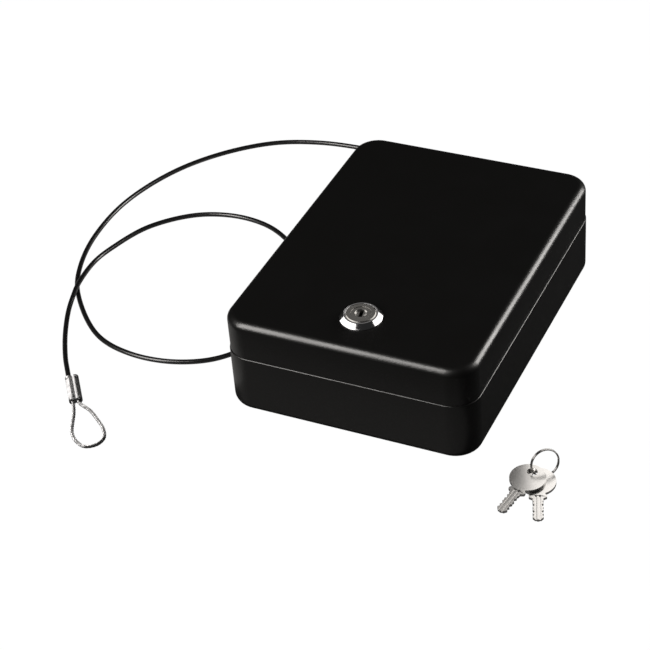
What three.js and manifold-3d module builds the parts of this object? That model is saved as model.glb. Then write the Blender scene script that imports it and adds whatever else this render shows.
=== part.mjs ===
// A portable car safe: a pressed steel box with a hinged lid, a key lock in the lid, a tether cable
// and two keys.
// Millimetres, +Z up. The origin is the centre of the base's underside, and the lock's edge faces -Y.
import * as THREE from "three";
import { mergeVertices } from "three/addons/utils/BufferGeometryUtils.js";
import Module from "manifold-3d";

const wasm = await Module();
wasm.setup();

// Case
const lidWidth = 172.7;
const lidDepth = 235.3;
const lidHeight = 27.2;
const baseHeight = 43.6;
const steelThickness = 1.2;
const lidCornerRadius = 17.6;
const lidFilletRadius = 5.5;
const baseFilletRadius = 6.5;
const baseRimProud = 0.5;
const rimRounding = 0.5;
const seamGap = 0.3;
const lipHeight = 4.5;
const lipClearance = 0.4;

// Foam liners
const foamThickness = 4;
const foamClearance = 0.5;
const foamSeat = 0.3;
const lockReliefClearance = 2.5;

// Hinges
const hingeCornerGap = 2.75;
const hingeSpan = 38;
const knuckleRadius = 3;
const knuckleCount = 5;
const knuckleGap = 0.3;
const leafThickness = 1.5;
const leafHeight = 14;
const leafSeat = 0.3;
const hingeStandOut = 0.8;
const pinRadius = 1.5;
const pinClearance = 0.1;
const pinHeadRadius = 2.3;
const pinHeadLength = 1.2;
const hingeNotchClearance = 0.5;

// Lock
const lockSetback = 33.1;
const collarDiameter = 28;
const collarTopDiameter = 22.4;
const collarHeight = 3.4;
const collarShoulderHeight = 1.2;
const collarEdgeHeight = 0.5;
const lockHeadDiameter = 19.8;
const lockHeadThickness = 2.6;
const lockHeadChamfer = 0.6;
const lockBarrelDiameter = 18.6;
const lockBarrelAcrossFlats = 16;
const lockBarrelLength = 17;
const lockClearance = 0.3;
const turningClearance = 0.12;
const plugRadius = 5.6;
const plugHeadRadius = 6.4;
const plugHeadThickness = 1.6;
const plugHeadSink = 0.3;
const dishDepth = 0.9;
const dishRimWidth = 0.7;
const dishFloorRadius = 3.2;
const keywayTurn = THREE.MathUtils.degToRad(9);
const keywayDepth = 12.5;
const washerDiameter = 26;
const washerThickness = 0.8;
const nutAcrossFlats = 24;
const nutThickness = 3.5;
const nutSides = 6;
const tailSide = 6.8;
const tailClearance = 0.15;
const camThickness = 2;
const camHubRadius = 9;
const camReach = 24;
const camWidth = 15;
const camEndRounding = 3;
const camRunningGap = 0.3;
const camWasherDiameter = 12;
const camWasherThickness = 1;
const screwHeadDiameter = 9;
const screwHeadThickness = 2.6;
const screwDiameter = 3.8;
const screwLength = 5.5;
const screwClearance = 0.15;
const screwSocketWidth = 1.1;
const screwSocketSpan = 5.2;
const screwSocketDepth = 1.4;

// Strike bracket
const strikeThickness = 2;
const strikeWidth = 34;
const strikeReach = 14.5;
const strikeGap = 0.4;
const strikeFootHeight = 20;
const strikeBendDrop = 4.4;
const strikeSeat = 0.3;

// Cable, its grommet and its end fittings
const cableDiameter = 3.5;
const cableBoreClearance = 0.3;
const cableExitOutboard = 3;
const cableExitHeightShare = 0.67227;
const cableStraightRun = 6.75;
const grommetFlangeRadius = 7;
const grommetFlangeThickness = 1.8;
const grommetFlangeRounding = 0.7;
const grommetNeckRadius = 4.8;
const grommetHoleClearance = 0.2;
const faceGap = 0.3;
const tailStubLength = 18;
const stopSleeveLength = 11;
const stopSleeveRadius = 4.1;
const stopSleeveChamfer = 0.6;
const stopSleeveGap = 0.5;
const ropeDiameter = 2.4;
const ferruleLength = 25.6;
const ferruleBarrelRadius = 2.6;
const ferruleBarrelSpacing = 4;
const ferruleHeading = THREE.MathUtils.degToRad(-53.3);
const ferruleStartX = -198.4;
const ferruleStartY = -130.2;
const ferruleLead = 10.5;

// Keys and their ring
const keyThickness = 2;
const keyBowRadius = 11.5;
const keyHoleRadius = 3.3;
const keyHoleToBowCentre = 5.4;
const keyNeckHalfWidth = 4.6;
const keyNeckLength = 0.8;
const keyCollarHalfWidth = 5.6;
const keyCollarLength = 1.6;
const keyShoulderLength = 1.2;
const keyHoleToTip = 38.3;
const keyBladeWidth = 7.6;
const keyTipHalfWidth = 1.6;
const keyTipLength = 2;
const keyCutPitch = 2.8;
const keyCutFlat = 0.7;
const keyCutMost = 1.05;
const keyCutShares = [0.5, 0.95, 0.4, 1, 0.65];
const keyGrooveOffset = 1.35;
const keyGrooveWidth = 1.1;
const keyGrooveDepth = 0.4;
const keyStackGap = 0.3;
const keywayClearance = 0.35;
const ringRadius = 9.2;
const ringWireWidth = 1.1;
const ringWireHeight = 0.95;
const ringGrooveDepth = 0.3;
const ringFloorGap = 0.1;
const ringCentreX = 132.1;
const ringCentreY = -110.7;
const ringLean = THREE.MathUtils.degToRad(12.9);
const ringHeading = THREE.MathUtils.degToRad(44.1);
const keySlope = THREE.MathUtils.degToRad(3.3);
const upperKeyHeading = THREE.MathUtils.degToRad(-100.6);
const upperKeyHole = new THREE.Vector2(126.2, -117.5);
const lowerKeyHeading = THREE.MathUtils.degToRad(-69.9);
const lowerKeyHole = new THREE.Vector3(129.3, -116.4, 3.28);

// Facets
const cornerSteps = 9;
const filletSteps = 5;
const roundSteps = 40;
const knuckleSteps = 20;
const smallSteps = 20;
const bowSteps = 30;
const ringSteps = 36;
const barrelSteps = 10;
const cableSides = 8;
const cableSteps = 80;
const ropeSteps = 30;
const weldTolerance = 1e-4;
const overrun = 1;

// Places worked out from the sizes above
const baseWidth = lidWidth + 2 * baseRimProud;
const baseDepth = lidDepth + 2 * baseRimProud;
const baseCornerRadius = lidCornerRadius + baseRimProud;
const lidRim = baseHeight + seamGap;
const lidTop = lidRim + lidHeight;
const lidCeiling = lidTop - steelThickness;
const lipInset = baseRimProud + steelThickness + lipClearance;
const rearFace = baseDepth / 2;
const lockY = -lidDepth / 2 + lockSetback;
const lockHeadBottom = lidTop + collarShoulderHeight;
const lockHeadTop = lockHeadBottom + lockHeadThickness;
const lockBottom = lidTop - lockBarrelLength;
const plugTop = lockHeadTop - plugHeadSink;
const camTop = lockBottom - camRunningGap;
const camBottom = camTop - camThickness;
const camWasherBottom = camBottom - camWasherThickness;
const hingeY = rearFace + hingeStandOut;
const hingeZ = baseHeight + seamGap / 2;
const hingeCentreOffset = lidWidth / 2 - lidCornerRadius - hingeCornerGap - hingeSpan / 2;
const pinTip = hingeSpan / 2 + faceGap + pinHeadLength;
const hingeNotchHalf = pinTip + hingeNotchClearance;
const cableRadius = cableDiameter / 2;
const cableExitOffset = -(hingeCentreOffset + cableExitOutboard);
const cableExitY = rearFace + grommetFlangeThickness + faceGap;
const cableExitHeight = cableExitHeightShare * (hingeZ - leafHeight);
const keywayWidth = keyThickness + keywayClearance;
const keywaySpan = keyBladeWidth + keywayClearance;

// The free cable's route, from the grommet to the ferrule: out of the rear wall and down to the floor,
// round behind the box, a wide loop beside it, and over its own first turn to the ferrule.
const cableRoute = [
  [cableExitOffset, cableExitY, cableExitHeight],
  [cableExitOffset, cableExitY + cableStraightRun, cableExitHeight],
  [-50, 134.5, 19.3],
  [-50.5, 145, 15.2],
  [-52, 157, 8],
  [-56, 169, 3.1],
  [-64, 181, 1.75],
  [-78, 191, 1.75],
  [-97, 197, 1.75],
  [-127, 198.6, 1.75],
  [-163, 195.4, 1.75],
  [-196.4, 183.8, 1.75],
  [-227.9, 158.4, 1.75],
  [-253.3, 122.1, 1.75],
  [-269, 72, 1.75],
  [-268.9, 24, 1.75],
  [-259.4, -14.5, 1.75],
  [-244.6, -43, 1.75],
  [-205.5, -82.2, 1.75],
  [-174.5, -92.6, 1.75],
  [-142.5, -90.8, 1.75],
  [-116, -78, 1.75],
  [-99, -55, 1.75],
  [-93.5, -25, 1.75],
  [-96, 12, 1.75],
  [-109, 46, 1.75],
  [-131.5, 67, 1.75],
  [-154, 78.6, 1.75],
  [-182, 81.4, 1.75],
  [-210, 72.6, 1.75],
  [-236, 47.6, 1.75],
  [-249, 14, 1.8],
  [-251.9, -6, 2.5],
  [-246.6, -38, 5.7],
  [-242.9, -51.5, 5.5],
  [-238.6, -66, 3.5],
  [-228, -89, 1.9],
  [-214.2, -112, 2],
];

// The bare rope's eye, from the ferrule's first barrel round to its second.
const eyeRoute = [
  [-178.6, -161.4, 1.6],
  [-175.2, -168.6, 1.2],
  [-170, -178.6, 1.2],
  [-163.3, -185.1, 1.2],
  [-155, -188, 1.2],
  [-148.5, -183.6, 1.2],
  [-147.2, -176.4, 1.2],
  [-152.2, -168.4, 1.2],
  [-160.6, -161.4, 1.2],
  [-169.6, -155.4, 1.7],
];

// Finishes
function finish(color, metalness, roughness) {
  return new THREE.MeshStandardMaterial({ color, metalness, roughness });
}
const powderCoat = finish(0x141414, 0.1, 0.45);
const foam = finish(0x1d1d1f, 0, 0.95);
const chrome = finish(0xdadada, 1, 0.12);
const darkZinc = finish(0x6a6866, 1, 0.38);
const zincSteel = finish(0xb9b7b0, 1, 0.35);
const nickel = finish(0xc9c6bf, 1, 0.25);
const rubber = finish(0x0c0c0c, 0, 0.8);
const vinyl = finish(0x0b0b0b, 0, 0.35);
const aluminium = finish(0xc4c4c4, 1, 0.3);
const wireRope = finish(0xaaaaaa, 1, 0.4);

const safe = new THREE.Group();

// Adds one named piece to the safe, or to a group inside it.
function addPiece(name, geometry, material, parent = safe) {
  const mesh = new THREE.Mesh(geometry, material);
  mesh.name = name;
  parent.add(mesh);
  return mesh;
}

// Booleans

function toSolid(geometry) {
  const bare = new THREE.BufferGeometry();
  bare.setAttribute("position", geometry.getAttribute("position").clone());
  if (geometry.index) bare.setIndex(geometry.index.clone());
  const merged = mergeVertices(bare, weldTolerance);
  const corners = merged.index.array;
  const faces = [];
  for (let i = 0; i < corners.length; i += 3) {
    const [a, b, c] = [corners[i], corners[i + 1], corners[i + 2]];
    if (a !== b && b !== c && c !== a) faces.push(a, b, c);
  }
  const vertProperties = merged.attributes.position.array;
  return new wasm.Manifold(new wasm.Mesh({ numProp: 3, vertProperties, triVerts: new Uint32Array(faces) }));
}

function toGeometry(solid) {
  const mesh = solid.getMesh();
  const geometry = new THREE.BufferGeometry();
  geometry.setAttribute("position", new THREE.BufferAttribute(new Float32Array(mesh.vertProperties), 3));
  geometry.setIndex(new THREE.BufferAttribute(new Uint32Array(mesh.triVerts), 1));
  return geometry;
}

function join(first, ...others) {
  return toGeometry(others.reduce((sum, other) => sum.add(toSolid(other)), toSolid(first)));
}

function cut(body, ...tools) {
  return toGeometry(tools.reduce((rest, tool) => rest.subtract(toSolid(tool)), toSolid(body)));
}

function overlapOf(first, second) {
  return toGeometry(toSolid(first).intersect(toSolid(second)));
}

// Basic forms

// A box between two corners.
function block(x0, y0, z0, x1, y1, z1) {
  const box = new THREE.BoxGeometry(x1 - x0, y1 - y0, z1 - z0);
  return box.translate((x0 + x1) / 2, (y0 + y1) / 2, (z0 + z1) / 2);
}

// A closed profile of [radius, height] pairs, turned about the vertical axis.
function turned(profile, steps = roundSteps) {
  const points = profile.map(([r, z]) => new THREE.Vector2(r, z));
  if (THREE.ShapeUtils.area(points) < 0) points.reverse();
  points.push(points[0].clone());
  return new THREE.LatheGeometry(points, steps).rotateX(Math.PI / 2);
}

// The same, turned about an axis that runs along +Y, with each height measured towards +Y.
const turnedAlongY = (profile, steps) => turned(profile, steps).rotateX(-Math.PI / 2);

const upright = (radius, bottom, top, steps) =>
  turned([[0, bottom], [radius, bottom], [radius, top], [0, top]], steps);

// A shape drawn from above, given a thickness upwards from a height.
function plate(shape, bottom, thickness) {
  const options = { depth: thickness, bevelEnabled: false, curveSegments: smallSteps };
  return new THREE.ExtrudeGeometry(shape, options).translate(0, 0, bottom);
}

// A shape drawn in the YZ plane, stretched along X from one place to another.
function stretchedAlongX(shape, fromX, toX) {
  const across = new THREE.Matrix4().makeBasis(
    new THREE.Vector3(0, 1, 0),
    new THREE.Vector3(0, 0, 1),
    new THREE.Vector3(1, 0, 0),
  );
  const options = { depth: toX - fromX, bevelEnabled: false, curveSegments: knuckleSteps };
  return new THREE.ExtrudeGeometry(shape, options).applyMatrix4(across).translate(fromX, 0, 0);
}

function polygon(points) {
  return new THREE.Shape(points.map(([x, y]) => new THREE.Vector2(x, y)));
}

function disc(x, y, radius) {
  return new THREE.Shape().absarc(x, y, radius, 0, 2 * Math.PI, false);
}

// A round section swept along a smooth curve through the points, with flat ends.
function sweptRound(points, radius, steps) {
  const places = points.map(([x, y, z]) => new THREE.Vector3(x, y, z));
  const path = new THREE.CatmullRomCurve3(places, false, "centripetal");
  path.arcLengthDivisions = steps * cableSides;
  const section = [];
  for (let i = 0; i < cableSides; i++) {
    const angle = (2 * Math.PI * i) / cableSides;
    section.push([radius * Math.cos(angle), radius * Math.sin(angle)]);
  }
  return new THREE.ExtrudeGeometry(polygon(section), { steps, extrudePath: path, bevelEnabled: false });
}

// Pressed boxes

// One ring of a rectangle with round corners, anticlockwise from above, drawn in by an inset.
function roundedRing(width, depth, cornerRadius, inset, z) {
  const radius = cornerRadius - inset;
  const ring = [];
  const corners = [[1, 1], [-1, 1], [-1, -1], [1, -1]];
  corners.forEach(([sideX, sideY], corner) => {
    for (let i = 0; i <= cornerSteps; i++) {
      const angle = (Math.PI / 2) * (corner + i / cornerSteps);
      const x = sideX * (width / 2 - cornerRadius) + radius * Math.cos(angle);
      const y = sideY * (depth / 2 - cornerRadius) + radius * Math.sin(angle);
      ring.push([x, y, z]);
    }
  });
  return ring;
}

// A wall profile of [inset, z] pairs carried round a rectangle with round corners, closed flat at
// both ends.
function pressed(width, depth, cornerRadius, profile) {
  const rings = profile.map(([inset, z]) => roundedRing(width, depth, cornerRadius, inset, z));
  const count = rings[0].length;
  const faces = [];
  for (let r = 0; r + 1 < rings.length; r++) {
    for (let i = 0; i < count; i++) {
      const a = r * count + i;
      const b = r * count + ((i + 1) % count);
      faces.push(a, b, b + count, a, b + count, a + count);
    }
  }
  const last = (rings.length - 1) * count;
  for (let i = 1; i + 1 < count; i++) {
    faces.push(0, i + 1, i);
    faces.push(last, last + i, last + i + 1);
  }
  const geometry = new THREE.BufferGeometry();
  geometry.setAttribute("position", new THREE.Float32BufferAttribute(rings.flat(2), 3));
  geometry.setIndex(faces);
  return geometry;
}

// A round stretch of a wall profile about a centre, between two angles above the horizontal.
function roundedEdge(centreInset, centreZ, radius, fromDegrees, toDegrees) {
  const points = [];
  for (let i = 0; i <= filletSteps; i++) {
    const angle = THREE.MathUtils.degToRad(fromDegrees + ((toDegrees - fromDegrees) * i) / filletSteps);
    points.push([centreInset - radius * Math.cos(angle), centreZ + radius * Math.sin(angle)]);
  }
  return points;
}

// Base: a deep pressed tray whose rim turns in to a ledge and up to a lip inside the lid.
function baseShell() {
  const innerFillet = baseFilletRadius - steelThickness;
  const profile = [
    ...roundedEdge(baseFilletRadius, baseFilletRadius, baseFilletRadius, -90, 0),
    [0, baseHeight - rimRounding],
    [rimRounding, baseHeight],
    [lipInset, baseHeight],
    [lipInset, baseHeight + lipHeight],
    [lipInset + steelThickness, baseHeight + lipHeight],
    [lipInset + steelThickness, baseHeight - steelThickness],
    [steelThickness, baseHeight - steelThickness],
    ...roundedEdge(baseFilletRadius, baseFilletRadius, innerFillet, 0, -90),
  ];
  const tray = pressed(baseWidth, baseDepth, baseCornerRadius, profile);
  const notchFront = rearFace - lipInset - steelThickness - hingeNotchClearance;
  const notchBottom = hingeZ - knuckleRadius - hingeNotchClearance;
  const notches = hingeCentres.map((x) =>
    block(
      x - hingeNotchHalf,
      notchFront,
      notchBottom,
      x + hingeNotchHalf,
      rearFace + overrun,
      baseHeight + lipHeight + overrun,
    ),
  );
  const holeRadius = grommetNeckRadius + grommetHoleClearance;
  const hole = turnedAlongY([[0, -overrun], [holeRadius, -overrun], [holeRadius, steelThickness + overrun],
    [0, steelThickness + overrun]], smallSteps);
  hole.translate(cableExitOffset, rearFace - steelThickness, cableExitHeight);
  return cut(tray, ...notches, hole);
}

// Lid: a shallow pressed cover with the lock's hole, flat on two sides so that the lock can't turn in it.
function lidShell() {
  const innerFillet = lidFilletRadius - steelThickness;
  const filletCentre = lidTop - lidFilletRadius;
  const profile = [
    ...roundedEdge(lidFilletRadius, filletCentre, innerFillet, 90, 0),
    [steelThickness, lidRim],
    [rimRounding, lidRim],
    [0, lidRim + rimRounding],
    ...roundedEdge(lidFilletRadius, filletCentre, lidFilletRadius, 0, 90),
  ];
  const cover = pressed(lidWidth, lidDepth, lidCornerRadius, profile);
  const notches = hingeCentres.map((x) =>
    block(
      x - hingeNotchHalf,
      lidDepth / 2 - steelThickness - hingeNotchClearance,
      lidRim - overrun,
      x + hingeNotchHalf,
      lidDepth / 2 + overrun,
      hingeZ + knuckleRadius + hingeNotchClearance,
    ),
  );
  return cut(cover, ...notches, flattedBarrel(lockClearance, lidCeiling - overrun, lidTop + overrun));
}

// Foam pads: one in the bottom of the base, one under the lid with a relief round the lock's nut.
function baseLiner() {
  const bottom = steelThickness + foamSeat;
  const lowInset = insideFilletInset(bottom) + foamClearance;
  const midInset = insideFilletInset(bottom + foamThickness / 2) + foamClearance;
  const topInset = insideFilletInset(bottom + foamThickness) + foamClearance;
  return pressed(baseWidth, baseDepth, baseCornerRadius, [
    [lowInset, bottom],
    [midInset, bottom + foamThickness / 2],
    [topInset, bottom + foamThickness],
  ]);
}

// How far the base's inner face stands in from its outline at a height above the floor.
function insideFilletInset(z) {
  const radius = baseFilletRadius - steelThickness;
  const drop = Math.max(baseFilletRadius - z, 0);
  return baseFilletRadius - Math.sqrt(Math.max(radius * radius - drop * drop, 0));
}

function lidLiner() {
  const top = lidCeiling - foamSeat;
  const bottom = top - foamThickness;
  const inset = lidFilletRadius + foamClearance;
  const pad = pressed(lidWidth, lidDepth, lidCornerRadius, [[inset, bottom], [inset, top]]);
  const reliefRadius = nutAcrossFlats / Math.sqrt(3) + lockReliefClearance;
  const relief = upright(reliefRadius, bottom - overrun, top + overrun).translate(0, lockY, 0);
  return cut(pad, relief);
}

// Hinges: a leaf inside each rear wall, its knuckles standing out through a notch in the seam.
const hingeCentres = [-hingeCentreOffset, hingeCentreOffset];

// The stretch of one knuckle along X, measured from the hinge's centre.
function knuckleStretch(index, slack) {
  const pitch = hingeSpan / knuckleCount;
  const from = -hingeSpan / 2 + index * pitch + knuckleGap / 2;
  return [from - slack, from + pitch - knuckleGap + slack];
}

// One leaf: side is 1 for the lid's and -1 for the base's, and face is the inner face of the wall that
// it is welded to.
function hingeLeaf(side, face) {
  const plateOuter = face - leafSeat;
  const plateInner = plateOuter - leafThickness;
  const near = hingeZ + side * (knuckleRadius - leafThickness);
  const far = hingeZ + side * leafHeight;
  const [low, high] = [Math.min(near, far), Math.max(near, far)];
  let leaf = block(-hingeSpan / 2, plateInner, low, hingeSpan / 2, plateOuter, high);
  const ownOffset = side > 0 ? 1 : 0;
  for (let index = 0; index < knuckleCount; index++) {
    if (index % 2 !== ownOffset) {
      const [from, to] = knuckleStretch(index, knuckleGap);
      leaf = cut(leaf, stretchedAlongX(disc(hingeY, hingeZ, knuckleRadius + knuckleGap), from, to));
      continue;
    }
    const [from, to] = knuckleStretch(index, 0);
    const strap = hingeZ + side * knuckleRadius;
    const strapLow = Math.min(near, strap);
    const strapHigh = Math.max(near, strap);
    const arm = block(from, plateInner, strapLow, to, hingeY, strapHigh);
    leaf = join(leaf, arm, stretchedAlongX(disc(hingeY, hingeZ, knuckleRadius), from, to));
  }
  const bore = disc(hingeY, hingeZ, pinRadius + pinClearance);
  return cut(leaf, stretchedAlongX(bore, -hingeSpan / 2 - overrun, hingeSpan / 2 + overrun));
}

function hingePin() {
  const tip = pinTip;
  const crown = tip - pinHeadLength / 2;
  const end = tip - pinHeadLength;
  const half = [[pinRadius, end], [pinHeadRadius, end], [pinHeadRadius, crown], [pinRadius, tip], [0, tip]];
  const otherHalf = half.map(([r, z]) => [r, -z]).reverse();
  const pin = turned([...otherHalf, ...half], smallSteps);
  return pin.rotateY(Math.PI / 2).translate(0, hingeY, hingeZ);
}

// Lock, drawn about its own axis and moved to its place in the lid

// The barrel's section grown by a clearance, between two heights, in its place in the lid.
function flattedBarrel(clearance, bottom, top) {
  const round = upright(lockBarrelDiameter / 2 + clearance, bottom, top);
  const half = lockBarrelAcrossFlats / 2 + clearance;
  const reach = lockBarrelDiameter;
  const flats = block(-half, -reach, bottom - overrun, half, reach, top + overrun);
  return overlapOf(round, flats).translate(0, lockY, 0);
}

function lockCollar() {
  const outer = collarDiameter / 2;
  const top = lidTop + collarHeight;
  const headBore = lockHeadDiameter / 2 + lockClearance;
  const barrelBore = lockBarrelDiameter / 2 + lockClearance;
  const collar = turned([
    [barrelBore, lidTop],
    [outer, lidTop],
    [outer, lidTop + collarEdgeHeight],
    [collarTopDiameter / 2, top],
    [headBore, top],
    [headBore, lockHeadBottom],
    [barrelBore, lockHeadBottom],
  ]);
  return collar.translate(0, lockY, 0);
}

function lockBody() {
  const headRadius = lockHeadDiameter / 2;
  const head = turned([
    [0, lockHeadBottom],
    [headRadius, lockHeadBottom],
    [headRadius, lockHeadTop - lockHeadChamfer],
    [headRadius - lockHeadChamfer, lockHeadTop],
    [0, lockHeadTop],
  ]).translate(0, lockY, 0);
  const barrel = flattedBarrel(0, lockBottom, lockHeadBottom + overrun);
  const boreRadius = plugRadius + turningClearance;
  const seatRadius = plugHeadRadius + turningClearance;
  const seat = plugTop - plugHeadThickness - turningClearance;
  const bore = turned([
    [0, lockBottom - overrun],
    [boreRadius, lockBottom - overrun],
    [boreRadius, seat],
    [seatRadius, seat],
    [seatRadius, lockHeadTop + overrun],
    [0, lockHeadTop + overrun],
  ]);
  return cut(join(head, barrel), bore.translate(0, lockY, 0));
}

function lockWasher() {
  const inner = lockBarrelDiameter / 2 + lockClearance;
  const bottom = lidCeiling - washerThickness;
  const outer = washerDiameter / 2;
  const ring = turned([[inner, bottom], [outer, bottom], [outer, lidCeiling], [inner, lidCeiling]]);
  return ring.translate(0, lockY, 0);
}

function lockNut() {
  const cornerRadius = nutAcrossFlats / Math.sqrt(3);
  const top = lidCeiling - washerThickness;
  const hexagon = [];
  for (let i = 0; i < nutSides; i++) {
    const angle = (2 * Math.PI * i) / nutSides;
    hexagon.push([cornerRadius * Math.cos(angle), cornerRadius * Math.sin(angle)]);
  }
  const blank = plate(polygon(hexagon), top - nutThickness, nutThickness);
  const bore = upright(lockBarrelDiameter / 2 + lockClearance, top - nutThickness - overrun, top + overrun);
  return cut(blank, bore).translate(0, lockY, 0);
}

// Plug: a dished head, the keyway, and a square tail that carries the cam.
function lockPlug() {
  const underHead = plugTop - plugHeadThickness;
  const dishFloor = plugTop - dishDepth;
  const body = turned([
    [0, lockBottom],
    [plugRadius, lockBottom],
    [plugRadius, underHead],
    [plugHeadRadius, underHead],
    [plugHeadRadius, plugTop],
    [plugHeadRadius - dishRimWidth, plugTop],
    [dishFloorRadius, dishFloor],
    [0, dishFloor],
  ]);
  const halfTail = tailSide / 2;
  const tail = block(-halfTail, -halfTail, camBottom, halfTail, halfTail, lockBottom + overrun);
  const [halfWidth, halfSpan] = [keywayWidth / 2, keywaySpan / 2];
  const slot = block(-halfWidth, -halfSpan, plugTop - keywayDepth, halfWidth, halfSpan, plugTop + overrun);
  const keyway = slot.rotateZ(keywayTurn);
  const threadRadius = screwDiameter / 2 + screwClearance;
  const thread = upright(threadRadius, camBottom - overrun, camBottom + screwLength, smallSteps);
  return cut(join(body, tail), keyway, thread).translate(0, lockY, 0);
}

// Cam: a flat lever on the plug's tail, turned aside along +X in the unlocked rest position.
function lockCam() {
  const end = camReach - camEndRounding;
  const half = camWidth / 2;
  const shape = new THREE.Shape()
    .moveTo(0, -half)
    .lineTo(end, -half)
    .absarc(end, -half + camEndRounding, camEndRounding, -Math.PI / 2, 0, false)
    .absarc(end, half - camEndRounding, camEndRounding, 0, Math.PI / 2, false)
    .lineTo(0, half);
  const lever = plate(shape, camBottom, camThickness);
  const hub = upright(camHubRadius, camBottom, camTop);
  const halfHole = tailSide / 2 + tailClearance;
  const hole = block(-halfHole, -halfHole, camBottom - overrun, halfHole, halfHole, camTop + overrun);
  return cut(join(lever, hub), hole).translate(0, lockY, 0);
}

function camWasher() {
  const inner = screwDiameter / 2 + screwClearance;
  const outer = camWasherDiameter / 2;
  const [bottom, top] = [camWasherBottom, camBottom];
  const ring = turned([[inner, bottom], [outer, bottom], [outer, top], [inner, top]], smallSteps);
  return ring.translate(0, lockY, 0);
}

function camScrew() {
  const headBottom = camWasherBottom - screwHeadThickness;
  const headRadius = screwHeadDiameter / 2;
  const shankRadius = screwDiameter / 2;
  const tip = camBottom + screwLength - screwClearance;
  const crown = screwHeadThickness / 2;
  const profile = [
    [0, headBottom],
    [headRadius - crown, headBottom],
    [headRadius, headBottom + crown],
    [headRadius, camWasherBottom],
    [shankRadius, camWasherBottom],
    [shankRadius, tip],
    [0, tip],
  ];
  const [halfWidth, halfSpan] = [screwSocketWidth / 2, screwSocketSpan / 2];
  const [floor, mouth] = [headBottom + screwSocketDepth, headBottom - overrun];
  const slots = [0, Math.PI / 2].map((turn) =>
    block(-halfWidth, -halfSpan, mouth, halfWidth, halfSpan, floor).rotateZ(turn),
  );
  return cut(turned(profile, smallSteps), ...slots).translate(0, lockY, 0);
}

// Strike: a folded bracket inside the base's front wall, whose upper tab stands over the locked cam.
function strikeBracket() {
  const wall = -rearFace + steelThickness + strikeSeat;
  const lip = -rearFace + lipInset + steelThickness + strikeSeat;
  const tabBottom = camTop + strikeGap;
  const tabTop = tabBottom + strikeThickness;
  const bendEnd = baseHeight - steelThickness;
  const bendStart = bendEnd - strikeBendDrop;
  const footBottom = bendStart - strikeFootHeight;
  const section = polygon([
    [wall, footBottom],
    [wall + strikeThickness, footBottom],
    [wall + strikeThickness, bendStart],
    [lip + strikeThickness, bendEnd],
    [lip + strikeThickness, tabBottom],
    [lip + strikeReach, tabBottom],
    [lip + strikeReach, tabTop],
    [lip, tabTop],
    [lip, bendEnd],
    [wall, bendStart],
  ]);
  return stretchedAlongX(section, -strikeWidth / 2, strikeWidth / 2);
}

// Cable grommet in the rear wall, the cable's tail through it, and the crimped sleeve that stops the tail
function cableGrommet() {
  const bore = cableRadius + cableBoreClearance;
  const outer = grommetFlangeRadius;
  const inner = -steelThickness - grommetFlangeThickness;
  const profile = [
    [bore, grommetFlangeThickness],
    [outer - grommetFlangeRounding, grommetFlangeThickness],
    [outer, grommetFlangeThickness - grommetFlangeRounding],
    [outer, 0],
    [grommetNeckRadius, 0],
    [grommetNeckRadius, -steelThickness],
    [outer, -steelThickness],
    [outer, inner + grommetFlangeRounding],
    [outer - grommetFlangeRounding, inner],
    [bore, inner],
  ];
  return turnedAlongY(profile, smallSteps).translate(cableExitOffset, rearFace, cableExitHeight);
}

function cableTail() {
  const [near, far] = [grommetFlangeThickness, -tailStubLength];
  const profile = [[0, far], [cableRadius, far], [cableRadius, near], [0, near]];
  return turnedAlongY(profile, smallSteps).translate(cableExitOffset, rearFace, cableExitHeight);
}

function cableStopSleeve() {
  const bore = cableRadius + cableBoreClearance;
  const near = -steelThickness - grommetFlangeThickness - stopSleeveGap;
  const far = near - stopSleeveLength;
  const profile = [
    [bore, near],
    [stopSleeveRadius - stopSleeveChamfer, near],
    [stopSleeveRadius, near - stopSleeveChamfer],
    [stopSleeveRadius, far + stopSleeveChamfer],
    [stopSleeveRadius - stopSleeveChamfer, far],
    [bore, far],
  ];
  return turnedAlongY(profile, smallSteps).translate(cableExitOffset, rearFace, cableExitHeight);
}

// Ferrule: two barrels side by side, crimped on the cable's end and on the returned end of its bare rope.
const ferruleAlong = new THREE.Vector3(Math.cos(ferruleHeading), Math.sin(ferruleHeading), 0);
const ferruleAcross = new THREE.Vector3(-Math.sin(ferruleHeading), Math.cos(ferruleHeading), 0);
const ferruleStart = new THREE.Vector3(ferruleStartX, ferruleStartY, ferruleBarrelRadius);

// A place on one barrel's axis: side -1 for the cable's barrel and 1 for the other, at a distance along it.
function onBarrel(side, distance) {
  const place = ferruleStart.clone().addScaledVector(ferruleAlong, distance);
  return place.addScaledVector(ferruleAcross, (side * ferruleBarrelSpacing) / 2).toArray();
}

function cableFerrule() {
  const offset = ferruleBarrelSpacing / 2;
  const waist = Math.acos(offset / ferruleBarrelRadius);
  const shape = new THREE.Shape()
    .absarc(offset, 0, ferruleBarrelRadius, waist - Math.PI, Math.PI - waist, false)
    .absarc(-offset, 0, ferruleBarrelRadius, waist, 2 * Math.PI - waist, false);
  const options = { depth: ferruleLength, bevelEnabled: false, curveSegments: barrelSteps };
  const place = new THREE.Matrix4().makeBasis(ferruleAcross, new THREE.Vector3(0, 0, 1), ferruleAlong);
  return new THREE.ExtrudeGeometry(shape, options).applyMatrix4(place).translate(...ferruleStart.toArray());
}

function freeCable() {
  const route = [...cableRoute, onBarrel(-1, -ferruleLead), onBarrel(-1, -faceGap)];
  return sweptRound(route, cableRadius, cableSteps);
}

function cableEye() {
  const start = ferruleLength + faceGap;
  const lead = start + ropeDiameter;
  const out = [onBarrel(-1, start), onBarrel(-1, lead)];
  const back = [onBarrel(1, lead), onBarrel(1, start)];
  const route = [...out, ...eyeRoute, ...back];
  return sweptRound(route, ropeDiameter / 2, ropeSteps);
}

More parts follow.
